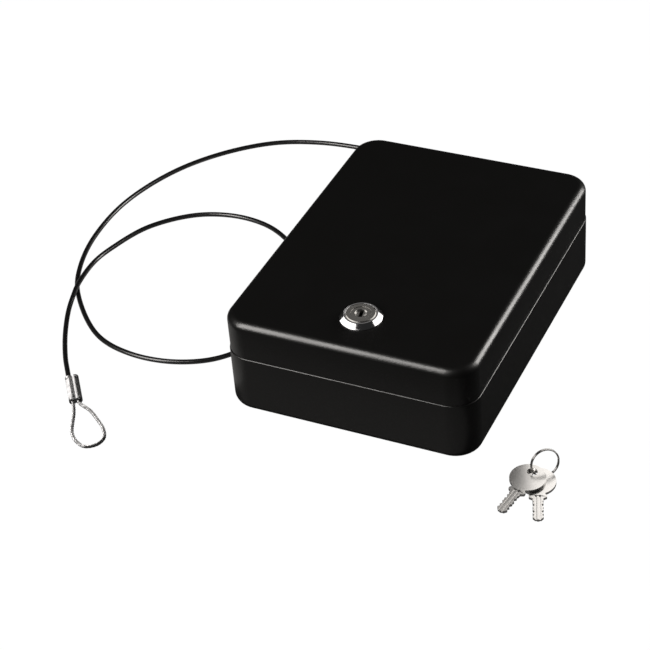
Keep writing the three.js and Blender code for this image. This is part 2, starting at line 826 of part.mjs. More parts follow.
// Keys: flat double-sided keys, the hole's centre at the origin and the blade along +X
function keyBlank() {
  const halfBlade = keyBladeWidth / 2;
  const bowEnd = keyHoleToBowCentre + keyBowRadius;
  const collarStart = bowEnd + keyNeckLength;
  const collarEnd = collarStart + keyCollarLength;
  const bladeStart = collarEnd + keyShoulderLength;
  const tip = keyHoleToTip;
  const mouth = Math.asin(keyNeckHalfWidth / keyBowRadius);
  const points = [];
  for (let i = 0; i <= bowSteps; i++) {
    const angle = mouth + ((2 * Math.PI - 2 * mouth) * i) / bowSteps;
    points.push([keyHoleToBowCentre + keyBowRadius * Math.cos(angle), keyBowRadius * Math.sin(angle)]);
  }
  const edge = [
    [bowEnd, keyNeckHalfWidth],
    [collarStart, keyCollarHalfWidth],
    [collarEnd, keyCollarHalfWidth],
    [bladeStart, halfBlade],
  ];
  keyCutShares.forEach((share, i) => {
    const centre = bladeStart + keyCutPitch * (i + 1);
    const depth = share * keyCutMost;
    edge.push([centre - keyCutFlat / 2 - depth, halfBlade], [centre - keyCutFlat / 2, halfBlade - depth]);
    edge.push([centre + keyCutFlat / 2, halfBlade - depth], [centre + keyCutFlat / 2 + depth, halfBlade]);
  });
  edge.push([tip - keyTipLength, halfBlade], [tip, keyTipHalfWidth]);
  points.push(...edge.map(([x, y]) => [x, -y]), ...edge.reverse());
  const shape = polygon(points);
  shape.holes.push(disc(0, 0, keyHoleRadius));
  const blank = plate(shape, -keyThickness / 2, keyThickness);
  const grooves = [];
  for (const face of [-1, 1]) {
    const floor = face * (keyThickness / 2 - keyGrooveDepth);
    const beyond = face * (keyThickness / 2 + overrun);
    for (const side of [-1, 1]) {
      const near = side * keyGrooveOffset - keyGrooveWidth / 2;
      const [low, high] = [Math.min(floor, beyond), Math.max(floor, beyond)];
      grooves.push(block(collarStart, near, low, tip + overrun, near + keyGrooveWidth, high));
    }
  }
  return cut(blank, ...grooves);
}

// The plane that both keys lie along: it falls towards the mean of their blades.
const keyFall = (upperKeyHeading + lowerKeyHeading) / 2;
const keyNormal = new THREE.Vector3(
  Math.sin(keySlope) * Math.cos(keyFall),
  Math.sin(keySlope) * Math.sin(keyFall),
  Math.cos(keySlope),
);

// Where the upper key's hole lies: over its place on the floor, one layer above the lower key's plane.
function upperKeyPlace() {
  const place = new THREE.Vector3(upperKeyHole.x, upperKeyHole.y, lowerKeyHole.z);
  const above = place.clone().sub(lowerKeyHole).dot(keyNormal);
  place.z += (keyThickness + keyStackGap - above) / keyNormal.z;
  return place;
}

function placeKey(name, heading, place) {
  const mesh = addPiece(name, keyBlank(), nickel);
  const flat = new THREE.Vector3(Math.cos(heading), Math.sin(heading), 0);
  const across = keyNormal.clone().cross(flat).normalize();
  const along = across.clone().cross(keyNormal);
  mesh.setRotationFromMatrix(new THREE.Matrix4().makeBasis(along, across, keyNormal));
  mesh.position.copy(place);
}

// Key ring: two turns of wire side by side, shown by the groove between them.
function keyRing() {
  const inner = ringRadius - ringWireWidth / 2;
  const outer = ringRadius + ringWireWidth / 2;
  const bevel = ringGrooveDepth;
  const top = ringWireHeight;
  const outside = [[outer - bevel, 0], [outer, bevel], [outer, top - bevel], [outer - bevel, top]];
  const inside = [[inner + bevel, top], [inner, top - bevel], [inner, bevel], [inner + bevel, 0]];
  const half = [...outside, ...inside];
  const otherHalf = half.slice(1, -1).map(([r, z]) => [r, -z]).reverse();
  return turnedAlongY([...half, ...otherHalf], ringSteps);
}

// Assembly

addPiece("base_shell", baseShell(), powderCoat);
addPiece("base_liner", baseLiner(), foam);
addPiece("lid_shell", lidShell(), powderCoat);
addPiece("lid_liner", lidLiner(), foam);

["left", "right"].forEach((side, index) => {
  const hinge = new THREE.Group();
  hinge.position.x = hingeCentres[index];
  addPiece(`hinge_base_leaf_${side}`, hingeLeaf(-1, rearFace - steelThickness), powderCoat, hinge);
  addPiece(`hinge_lid_leaf_${side}`, hingeLeaf(1, lidDepth / 2 - steelThickness), powderCoat, hinge);
  addPiece(`hinge_pin_${side}`, hingePin(), zincSteel, hinge);
  safe.add(hinge);
});

addPiece("lock_collar", lockCollar(), chrome);
addPiece("lock_body", lockBody(), darkZinc);
addPiece("lock_washer", lockWasher(), zincSteel);
addPiece("lock_nut", lockNut(), zincSteel);
addPiece("lock_plug", lockPlug(), darkZinc);
addPiece("lock_cam", lockCam(), zincSteel);
addPiece("cam_washer", camWasher(), zincSteel);
addPiece("cam_screw", camScrew(), zincSteel);
addPiece("strike_bracket", strikeBracket(), zincSteel);

addPiece("cable_grommet", cableGrommet(), rubber);
addPiece("cable_tail", cableTail(), vinyl);
addPiece("cable_stop_sleeve", cableStopSleeve(), aluminium);
addPiece("cable", freeCable(), vinyl);
addPiece("cable_ferrule", cableFerrule(), aluminium);
addPiece("cable_eye", cableEye(), wireRope);

const ring = addPiece("key_ring", keyRing(), nickel);
const ringReach = (ringRadius + ringWireWidth / 2) * Math.cos(ringLean);
const ringRise = ringReach + ringWireHeight * Math.sin(ringLean);
ring.position.set(ringCentreX, ringCentreY, ringRise + ringFloorGap);
ring.rotation.set(-ringLean, 0, ringHeading, "ZYX");
placeKey("key_1", upperKeyHeading, upperKeyPlace());
placeKey("key_2", lowerKeyHeading, lowerKeyHole);

export default safe;
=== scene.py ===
"""Looks of a portable car safe: pressed steel case, key lock, hinges, tether cable and two keys.

Each piece is shaped in millimetres and brought to metres when it is settled in its place, in the
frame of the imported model.
"""

from __future__ import annotations

import logging
import math
from dataclasses import dataclass, replace
from enum import Enum
from typing import Callable, Sequence

import bmesh
import bpy
from mathutils import Matrix, Vector


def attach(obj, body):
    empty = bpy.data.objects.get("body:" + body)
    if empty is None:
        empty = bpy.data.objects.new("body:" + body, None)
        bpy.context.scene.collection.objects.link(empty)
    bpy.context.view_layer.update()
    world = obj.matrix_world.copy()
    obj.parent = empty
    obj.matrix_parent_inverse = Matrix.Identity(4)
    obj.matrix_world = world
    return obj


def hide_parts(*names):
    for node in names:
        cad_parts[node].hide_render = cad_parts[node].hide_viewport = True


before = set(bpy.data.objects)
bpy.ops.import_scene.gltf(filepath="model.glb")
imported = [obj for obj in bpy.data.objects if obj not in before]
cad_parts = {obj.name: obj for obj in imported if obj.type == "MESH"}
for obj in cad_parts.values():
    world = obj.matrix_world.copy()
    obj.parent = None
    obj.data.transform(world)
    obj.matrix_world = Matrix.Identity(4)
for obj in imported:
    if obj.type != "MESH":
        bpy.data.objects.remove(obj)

log = logging.getLogger("car_safe")

Colour = tuple[float, float, float]
Pair = tuple[float, float]
Triple = tuple[float, float, float]
Test = Callable[[Vector, Vector], bool]
Inputs = dict[str | int, object]

MILLIMETRE = 0.001
UP = Vector((0, 0, 1))
BACK = Vector((0, 1, 0))

# How far from a level, and from an outline, a place may lie and count as on it, in millimetres.
NEAR = 0.02
NEAR_OUTLINE = 0.1
# The least part of a unit direction along an axis that counts as running along it.
ALONG = 0.9
# How close two corners are, in millimetres, when they are merged into one.
MERGED = 0.001
# How far under its aim a light that lies on the floor is, in metres.
LOW_CARD = 0.0099
# How many sides round shapes have, from the largest to the smallest.
FINEST, FINE, PLAIN, SLIM, SMALL = 128, 96, 64, 48, 32
# How sharp an edge is, in degrees, to be rounded on a folded piece and on a turned one.
FOLDED, TURNED = 35, 20
# How sharp an edge is, in degrees, to stay sharp in the shading of hard pieces and of soft ones.
CRISP, GENTLE = 40, 60


class Pick(Enum):
    """What a selection in edit mode is made of."""

    EDGES = "EDGE"
    FACES = "FACE"


class Side(Enum):
    """A side of the safe, as seen from the lock, with its direction along X."""

    LEFT = -1
    RIGHT = 1


# Shaping


def clear_selection() -> None:
    """Leaves nothing selected, so that an operator acts on one piece alone."""
    for thing in bpy.context.selected_objects:
        thing.select_set(False)


def at(x: float, y: float, z: float) -> Matrix:
    """A move to a place."""
    return Matrix.Translation((x, y, z))


def turn(axis: str, degrees: float) -> Matrix:
    """A turn about an axis through the origin."""
    return Matrix.Rotation(math.radians(degrees), 4, axis)


def axes(x: Vector, y: Vector, z: Vector) -> Matrix:
    """The turn that brings the three axes to three directions at right angles."""
    return Matrix((x, y, z)).transposed().to_4x4()


def pointing(degrees: float) -> Vector:
    """A level direction, in degrees from +X towards +Y."""
    return Vector((math.cos(math.radians(degrees)), math.sin(math.radians(degrees)), 0))


def running(axis: str, **levels: float) -> Test:
    """A test for edges that run along an axis.

    Args:
        axis: the axis's letter.
        levels: a level for each axis's letter that the edges are held to.

    Returns:
        The test.
    """
    return lambda place, way: abs(getattr(way, axis)) > ALONG and level(**levels)(place, way)


def level(**levels: float) -> Test:
    """A test for parts of a mesh that lie at given levels, one for each axis's letter."""
    return lambda place, _: all(abs(getattr(place, axis) - held) < NEAR for axis, held in levels.items())


def facing(axis: str, sign: int) -> Test:
    """A test for faces that look along an axis, forwards for 1 and backwards for -1."""
    return lambda _, way: sign * getattr(way, axis) > ALONG


class Workpiece:
    """A piece that is being shaped in millimetres, by the same steps as by hand.

    Args:
        name: the finished piece's name.
        piece: the object to shape, which becomes the only one selected.
    """

    def __init__(self, name: str, piece: bpy.types.Object) -> None:
        """Names the object and selects it."""
        self.piece = piece
        self.piece.name = name
        self.piece.data.name = name
        self.take()

    @classmethod
    def box(cls, name: str, low: Triple, high: Triple) -> Workpiece:
        """Starts from a box between two corners.

        Args:
            name: the piece's name.
            low: the lowest corner.
            high: the highest corner.

        Returns:
            The new workpiece.
        """
        clear_selection()
        bpy.ops.mesh.primitive_cube_add(size=1, location=(Vector(low) + Vector(high)) / 2)
        work = cls(name, bpy.context.object)
        work.piece.scale = Vector(high) - Vector(low)
        bpy.ops.object.transform_apply(location=True, rotation=True, scale=True)
        return work

    @classmethod
    def rod(cls, name: str, radius: float, low: float, high: float, steps: int = PLAIN) -> Workpiece:
        """Starts from a round bar that stands on the Z axis.

        Args:
            name: the piece's name.
            radius: the bar's radius.
            low: the height of its lower end.
            high: the height of its upper end.
            steps: how many sides it has.

        Returns:
            The new workpiece.
        """
        clear_selection()
        bpy.ops.mesh.primitive_cylinder_add(
            vertices=steps, radius=radius, depth=high - low, location=(0, 0, (low + high) / 2)
        )
        work = cls(name, bpy.context.object)
        bpy.ops.object.transform_apply(location=True, rotation=True, scale=True)
        return work

    @classmethod
    def turned(cls, name: str, profile: Sequence[Pair], steps: int = FINE) -> Workpiece:
        """Turns an outline about the Z axis, one ring drawn out of the last.

        Args:
            name: the piece's name.
            profile: pairs of radius and height. An outline that starts and ends on the axis is
                closed there by flat faces, and any other is closed on itself.
            steps: how many sides the rings have.

        Returns:
            The new workpiece.
        """
        solid = profile[0][0] == 0
        rings = list(profile[1:-1]) if solid else [*profile, profile[0]]
        clear_selection()
        bpy.ops.mesh.primitive_circle_add(vertices=steps, radius=rings[0][0], fill_type="NOTHING")
        work = cls(name, bpy.context.object)
        work.edit()
        bpy.ops.mesh.select_all(action="SELECT")
        bpy.ops.transform.translate(value=(0, 0, rings[0][1]))
        for (radius, height), (next_radius, next_height) in zip(rings, rings[1:]):
            bpy.ops.mesh.extrude_edges_move()
            growth = next_radius / radius
            bpy.ops.transform.resize(value=(growth, growth, 1))
            bpy.ops.transform.translate(value=(0, 0, next_height - height))
        if solid:
            bpy.ops.mesh.edge_face_add()
            radius, height = rings[0]
            first = level(z=height)
            work.choose(
                Pick.EDGES,
                lambda place, way: first(place, way) and abs(place.xy.length - radius) < NEAR_OUTLINE,
            )
            bpy.ops.mesh.edge_face_add()
        work.close()
        return work

    def take(self) -> None:
        """Makes this the one selected and active object."""
        clear_selection()
        self.piece.select_set(True)
        bpy.context.view_layer.objects.active = self.piece

    def edit(self) -> None:
        """Goes into edit mode."""
        self.take()
        bpy.ops.object.mode_set(mode="EDIT")

    def leave(self) -> None:
        """Goes back to object mode."""
        bpy.ops.object.mode_set(mode="OBJECT")

    def close(self, merged: float = MERGED) -> None:
        """Merges corners that lie together, points the faces outwards and leaves edit mode.

        Args:
            merged: how close such corners are.
        """
        bpy.ops.mesh.select_all(action="SELECT")
        bpy.ops.mesh.remove_doubles(threshold=merged)
        bpy.ops.mesh.normals_make_consistent(inside=False)
        self.leave()

    def choose(self, pick: Pick, test: Test) -> None:
        """Selects the parts of the mesh that pass a test, and nothing else.

        Args:
            pick: whether edges or faces are picked.
            test: called with each one's place and direction, which is a face's normal or an
                edge's own line.
        """
        bpy.ops.mesh.select_mode(type=pick.value)
        bpy.ops.mesh.select_all(action="DESELECT")
        shape = bmesh.from_edit_mesh(self.piece.data)
        if pick is Pick.EDGES:
            items = [
                (e, (e.verts[0].co + e.verts[1].co) / 2, (e.verts[1].co - e.verts[0].co).normalized())
                for e in shape.edges
            ]
        else:
            items = [(f, f.calc_center_median(), f.normal) for f in shape.faces]
        for item, place, direction in items:
            if test(place, direction):
                item.select_set(True)
        shape.select_flush_mode()
        bmesh.update_edit_mesh(self.piece.data)

    def round_edges(self, radius: float, segments: int, test: Test) -> None:
        """Rounds the edges that pass a test, in edit mode."""
        self.choose(Pick.EDGES, test)
        bpy.ops.mesh.bevel(
            offset=radius, segments=segments, affect="EDGES", clamp_overlap=False, profile=0.5
        )

    def modify(self, kind: str, **settings: object) -> None:
        """Adds a modifier and applies it at once.

        Args:
            kind: the modifier's Blender type.
            settings: the modifier's own properties.
        """
        self.take()
        bpy.ops.object.modifier_add(type=kind)
        modifier = self.piece.modifiers[-1]
        for name, value in settings.items():
            setattr(modifier, name, value)
        bpy.ops.object.modifier_apply(modifier=modifier.name)

    def boolean(self, other: Workpiece, operation: str) -> None:
        """Cuts, joins or intersects this piece with another, which is used up.

        Args:
            other: the other workpiece.
            operation: Blender's name for what is done.
        """
        self.modify("BOOLEAN", operation=operation, object=other.piece, solver="EXACT")
        bpy.data.objects.remove(other.piece)
        self.take()

    def cut(self, other: Workpiece) -> None:
        """Takes another piece's shape out of this one."""
        self.boolean(other, "DIFFERENCE")

    def join(self, other: Workpiece) -> None:
        """Makes one solid of this piece and another."""
        self.boolean(other, "UNION")

    def keep_within(self, other: Workpiece) -> None:
        """Keeps only what lies in another piece."""
        self.boolean(other, "INTERSECT")

    def soften(self, width: float, segments: int = 3, angle: float = FOLDED) -> None:
        """Rounds every edge that is sharper than an angle in degrees."""
        self.modify(
            "BEVEL",
            width=width,
            segments=segments,
            limit_method="ANGLE",
            angle_limit=math.radians(angle),
            use_clamp_overlap=True,
        )

    def smooth(self, angle: float = CRISP) -> None:
        """Shades the surface smooth.

        Args:
            angle: how sharp the edges are that stay sharp, in degrees.
        """
        self.take()
        bpy.ops.object.shade_smooth_by_angle(angle=math.radians(angle))
        self.modify("WEIGHTED_NORMAL", keep_sharp=True)

    def polish(self, width: float, segments: int = 3, angle: float = FOLDED) -> None:
        """Rounds every edge that is sharper than an angle in degrees, and shades the rest smooth."""
        self.soften(width, segments, angle)
        self.smooth()

    def move(self, matrix: Matrix) -> None:
        """Turns and moves the shape, still in millimetres.

        Args:
            matrix: the turn and the move.
        """
        self.take()
        self.piece.matrix_world = matrix
        bpy.ops.object.transform_apply(location=True, rotation=True, scale=True)

    def copy(self, name: str) -> Workpiece:
        """Makes a second piece of the same shape, with its own mesh.

        Args:
            name: the copy's name.

        Returns:
            The copy.
        """
        twin = self.piece.copy()
        twin.data = self.piece.data.copy()
        bpy.context.collection.objects.link(twin)
        return Workpiece(name, twin)

    def settle(self, finish: Finish, body: str, node: str) -> bpy.types.Object:
        """Brings the piece to metres, dresses it and sets it in the safe.

        Args:
            finish: the surface that it gets.
            body: the body that it rides on.
            node: the plain solid that it stands for.

        Returns:
            The finished object.
        """
        self.take()
        self.piece.scale = (MILLIMETRE,) * 3
        bpy.ops.object.transform_apply(location=True, rotation=True, scale=True)
        return fit(self.piece, finish, body, node)


def on_outline(place: Vector, half: Pair, corner: float) -> bool:
    """Whether a place lies on the outline of a rectangle with round corners.

    Args:
        place: the place, in millimetres.
        half: half of the rectangle's width and depth.
        corner: the radius of its corners.

    Returns:
        True where the place is on the outline.
    """
    x = abs(place.x) - (half[0] - corner)
    y = abs(place.y) - (half[1] - corner)
    outward = math.hypot(max(x, 0), max(y, 0)) + min(max(x, y), 0)
    return abs(outward - corner) < NEAR_OUTLINE


def fit(piece: bpy.types.Object, finish: Finish, body: str, node: str) -> bpy.types.Object:
    """Dresses a finished object, sets it on its body and hides what it stands for.

    Args:
        piece: the object, in metres and in its place.
        finish: the surface that it gets.
        body: the body that it rides on.
        node: the plain solid that it stands for.

    Returns:
        The same object.
    """
    piece.data.materials.clear()
    piece.data.materials.append(finish.material())
    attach(piece, body)
    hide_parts(node)
    Studio.sort(piece, finish)
    log.info("%s: %s on %s, for %s", piece.name, finish.slot, body, node)
    return piece


# Finishes


class NodeBoard:
    """Places and joins the nodes of one material, group or world.

    Args:
        tree: its node tree.
    """

    def __init__(self, tree: bpy.types.NodeTree) -> None:
        """Starts on a material's, a group's or a world's tree."""
        self.tree = tree

    def add(self, kind: str, inputs: Inputs | None = None, **settings: object) -> bpy.types.Node:
        """Adds a node.

        Args:
            kind: the node's Blender type.
            inputs: a value, or another node's socket, for each input by its name or number.
            settings: the node's own properties.

        Returns:
            The node.
        """
        node = self.tree.nodes.new(kind)
        for name, value in settings.items():
            setattr(node, name, value)
        for name, value in (inputs or {}).items():
            self.feed(node.inputs[name], value)
        return node

    def feed(self, socket: bpy.types.NodeSocket, value: object) -> None:
        """Joins a socket to another, or sets its value.

        Args:
            socket: the input to feed.
            value: another node's socket, or a plain value.
        """
        if isinstance(value, bpy.types.NodeSocket):
            self.tree.links.new(value, socket)
        else:
            socket.default_value = value


def group_tree(name: str, inputs: Sequence[tuple[str, str]], outputs: Sequence[str]) -> bpy.types.NodeTree:
    """Starts a shader node group.

    Args:
        name: the group's name.
        inputs: a name and a socket kind for each input.
        outputs: a name for each value that it gives.

    Returns:
        The group's tree, with nothing joined yet.
    """
    tree = bpy.data.node_groups.new(name, "ShaderNodeTree")
    for label, kind in inputs:
        tree.interface.new_socket(name=label, in_out="INPUT", socket_type=kind)
    for label in outputs:
        tree.interface.new_socket(name=label, in_out="OUTPUT", socket_type="NodeSocketFloat")
    return tree


def grain_group() -> bpy.types.NodeTree:
    """The fine grain of a sprayed, moulded or foamed surface.

    Returns:
        A group that gives the grain's height and broad, soft patches, both from 0 to 1.
    """
    known = bpy.data.node_groups.get("surface grain")
    if known:
        return known
    inputs = [
        ("Vector", "NodeSocketVector"),
        ("Grain Scale", "NodeSocketFloat"),
        ("Patch Scale", "NodeSocketFloat"),
    ]
    tree = group_tree("surface grain", inputs, ["Height", "Patches"])
    board = NodeBoard(tree)
    given = board.add("NodeGroupInput")
    grain = board.add(
        "ShaderNodeTexNoise",
        {"Vector": given.outputs["Vector"], "Scale": given.outputs["Grain Scale"], "Detail": 3.0},
    )
    patches = board.add(
        "ShaderNodeTexNoise",
        {"Vector": given.outputs["Vector"], "Scale": given.outputs["Patch Scale"], "Detail": 2.0},
    )
    spread = board.add(
        "ShaderNodeMapRange",
        {"Value": patches.outputs["Fac"], "From Min": 0.3, "From Max": 0.7},
    )
    board.add("NodeGroupOutput", {"Height": grain.outputs["Fac"], "Patches": spread.outputs["Result"]})
    return tree


def brushing_group() -> bpy.types.NodeTree:
    """The fine lines of a brushed or ground metal surface.

    Returns:
        A group that gives the lines from 0 to 1, drawn out along the third axis of its vector.
    """
    known = bpy.data.node_groups.get("brushing")
    if known:
        return known
    inputs = [
        ("Vector", "NodeSocketVector"),
        ("Line Scale", "NodeSocketFloat"),
        ("Length Share", "NodeSocketFloat"),
    ]
    tree = group_tree("brushing", inputs, ["Lines"])
    board = NodeBoard(tree)
    given = board.add("NodeGroupInput")
    parts = board.add("ShaderNodeSeparateXYZ", {"Vector": given.outputs["Vector"]})
    drawn = board.add(
        "ShaderNodeMath",
        {0: parts.outputs["Z"], 1: given.outputs["Length Share"]},
        operation="MULTIPLY",
    )
    along = board.add(
        "ShaderNodeCombineXYZ",
        {"X": parts.outputs["X"], "Y": parts.outputs["Y"], "Z": drawn.outputs[0]},
    )
    lines = board.add(
        "ShaderNodeTexNoise",
        {"Vector": along.outputs[0], "Scale": given.outputs["Line Scale"], "Detail": 4.0},
    )
    board.add("NodeGroupOutput", {"Lines": lines.outputs["Fac"]})
    return tree


@dataclass(frozen=True)
class Finish:
    """A surface of the safe.

    Args:
        slot: the record's name for the material.
        colour: its colour.
        shade: its colour in the darker patches.
        roughness: its roughness in the smoothest patches.
        spread: how much rougher the other patches are.
        metallic: 1 on bare or plated metal and 0 elsewhere.
        specular: how strongly a surface that isn't metal mirrors.
        grain: the size of its grain, in millimetres.
        relief: the height of its grain, in millimetres.
        patch: the size of its patches, in millimetres.
        brushed: the direction that its brushing runs in, or None.
        line_share: how wide a brushed line is for its length.
        lit: the group of lights that it is seen by.
        name: the material's name, where the slot has more than one finish.
    """

    slot: str
    colour: Colour
    shade: Colour
    roughness: float
    spread: float = 0.05
    metallic: float = 0.0
    specular: float = 0.5
    grain: float = 0.6
    relief: float = 0.01
    patch: float = 20.0
    brushed: Triple | None = None
    line_share: float = 0.04
    lit: str = "coat"
    name: str = ""

    def material(self) -> bpy.types.Material:
        """Makes the finish's material, or finds it if it is made already.

        Returns:
            The material.
        """
        title = self.name or self.slot
        known = bpy.data.materials.get(f"{title} finish")
        if known:
            return known
        made = bpy.data.materials.new(f"{title} finish")
        made.use_nodes = True
        made.node_tree.nodes.clear()
        board = NodeBoard(made.node_tree)
        place = board.add("ShaderNodeTexCoord").outputs["Object"]
        grain = board.add(
            "ShaderNodeGroup",
            {
                "Vector": place,
                "Grain Scale": 1 / (self.grain * MILLIMETRE),
                "Patch Scale": 1 / (self.patch * MILLIMETRE),
            },
            node_tree=grain_group(),
        )
        height, amount = grain.outputs["Height"], grain.outputs["Patches"]
        if self.brushed:
            height = amount = self.brushing(board, place)
        tint = board.add(
            "ShaderNodeMix", {0: amount, 6: (*self.shade, 1), 7: (*self.colour, 1)}, data_type="RGBA"
        )
        rough = board.add(
            "ShaderNodeMapRange",
            {"Value": amount, "To Min": self.roughness + self.spread, "To Max": self.roughness},
        )
        bump = board.add(
            "ShaderNodeBump",
            {"Height": height, "Distance": self.relief * MILLIMETRE, "Strength": 1.0},
        )
        shader = board.add(
            "ShaderNodeBsdfPrincipled",
            {
                "Base Color": tint.outputs[2],
                "Roughness": rough.outputs["Result"],
                "Normal": bump.outputs["Normal"],
                "Metallic": self.metallic,
                "Specular IOR Level": self.specular,
            },
        )
        board.add("ShaderNodeOutputMaterial", {"Surface": shader.outputs["BSDF"]})
        return made

    def brushing(self, board: NodeBoard, place: bpy.types.NodeSocket) -> bpy.types.NodeSocket:
        """The brushed lines, turned to run along this finish's direction.

        Args:
            board: the material's board.
            place: the surface's place.

        Returns:
            The lines' socket.
        """
        upright = Vector(self.brushed).to_track_quat("Z", "Y").inverted().to_euler()
        turned = board.add("ShaderNodeMapping", {"Vector": place, "Rotation": upright})
        lines = board.add(
            "ShaderNodeGroup",
            {
                "Vector": turned.outputs["Vector"],
                "Line Scale": 1 / (self.grain * MILLIMETRE),
                "Length Share": self.line_share,
            },
            node_tree=brushing_group(),
        )
        return lines.outputs["Lines"]


POWDER_COAT = Finish(
    slot="powder_coat",
    colour=(0.0026, 0.0025, 0.0023),
    shade=(0.002, 0.0019, 0.0018),
    roughness=0.32,
    grain=1.4,
    relief=0.08,
    patch=30.0,
)
FOAM = Finish(
    slot="foam",
    colour=(0.022, 0.022, 0.024),
    shade=(0.016, 0.016, 0.0175),
    roughness=0.9,
    spread=0.08,
    specular=0.2,
    grain=1.1,
    relief=0.35,
    patch=14.0,
)
CHROME = Finish(
    slot="chrome",
    colour=(0.84, 0.84, 0.85),
    shade=(0.78, 0.78, 0.79),
    roughness=0.1,
    spread=0.06,
    metallic=1.0,
    lit="lock",
    grain=0.5,
    relief=0.001,
    patch=6.0,
)
DARK_ZINC = Finish(
    slot="dark_zinc",
    colour=(0.5, 0.49, 0.47),
    shade=(0.4, 0.39, 0.37),
    roughness=0.26,
    spread=0.08,
    metallic=1.0,
    lit="lock",
    grain=0.4,
    relief=0.003,
    patch=5.0,
)
ZINC_STEEL = Finish(
    slot="zinc_steel",
    colour=(0.62, 0.61, 0.57),
    shade=(0.48, 0.48, 0.46),
    roughness=0.28,
    spread=0.14,
    metallic=1.0,
    lit="hardware",
    grain=0.5,
    relief=0.004,
    patch=6.0,
)
NICKEL = Finish(
    slot="nickel",
    colour=(0.72, 0.71, 0.695),
    shade=(0.65, 0.64, 0.625),
    roughness=0.19,
    spread=0.03,
    metallic=1.0,
    lit="keys",
    grain=0.3,
    relief=0.0008,
    brushed=(0.44, 0.9, 0.0),
)
RING_WIRE = Finish(
    slot="nickel",
    name="ring wire",
    colour=(0.62, 0.61, 0.6),
    shade=(0.45, 0.44, 0.43),
    roughness=0.16,
    spread=0.1,
    metallic=1.0,
    lit="keys",
    grain=0.4,
    relief=0.002,
    patch=3.0,
)
RUBBER = Finish(
    slot="rubber",
    colour=(0.014, 0.014, 0.014),
    shade=(0.009, 0.009, 0.009),
    roughness=0.62,
    spread=0.14,
    specular=0.35,
    grain=0.5,
    relief=0.02,
    patch=5.0,
)
VINYL = Finish(
    slot="vinyl",
    colour=(0.006, 0.006, 0.0063),
    shade=(0.004, 0.004, 0.0042),
    roughness=0.22,
    spread=0.1,
    grain=1.6,
    relief=0.02,
    patch=9.0,
)
ALUMINIUM = Finish(
    slot="aluminium",
    colour=(0.78, 0.78, 0.79),
    shade=(0.55, 0.55, 0.56),
    roughness=0.26,
    spread=0.16,
    metallic=1.0,
    lit="metal",
    grain=0.5,
    relief=0.008,
    patch=4.0,
)
SLEEVE = replace(ALUMINIUM, name="sleeve aluminium", lit="hardware")
WIRE_ROPE = Finish(
    slot="wire_rope",
    colour=(0.7, 0.7, 0.71),
    shade=(0.4, 0.4, 0.4),
    roughness=0.26,
    spread=0.2,
    metallic=1.0,
    lit="metal",
    grain=0.25,
    relief=0.004,
    patch=2.0,
)

# Studio


@dataclass(frozen=True)
class SoftBox:
    """A square soft light.

    Args:
        name: the light's name.
        aim: the point that it lights, in metres.
        heading: the direction from that point to the light.
        distance: how far off it stands, in metres.
        size: its width and height, in metres.
        power: its power, in watts.
        group: the name of the group of pieces that it lights.
        tint: its colour.
    """

    name: str
    aim: Triple
    heading: Triple
    distance: float
    size: Pair
    power: float
    group: str
    tint: Colour = (1, 0.97, 0.94)

    def place(self) -> None:
        """Makes the light and turns it to its aim."""
        lamp = bpy.data.lights.new(self.name, "AREA")
        lamp.shape = "RECTANGLE"
        lamp.size, lamp.size_y = self.size
        lamp.energy = self.power
        lamp.color = self.tint
        light = bpy.data.objects.new(self.name, lamp)
        away = Vector(self.heading).normalized()
        light.location = Vector(self.aim) + away * self.distance
        light.visible_camera = False
        light.rotation_mode = "QUATERNION"
        light.rotation_quaternion = away.to_track_quat("Z", "Y")
        bpy.context.scene.collection.objects.link(light)
        light.light_linking.receiver_collection = Studio.pieces(self.group)


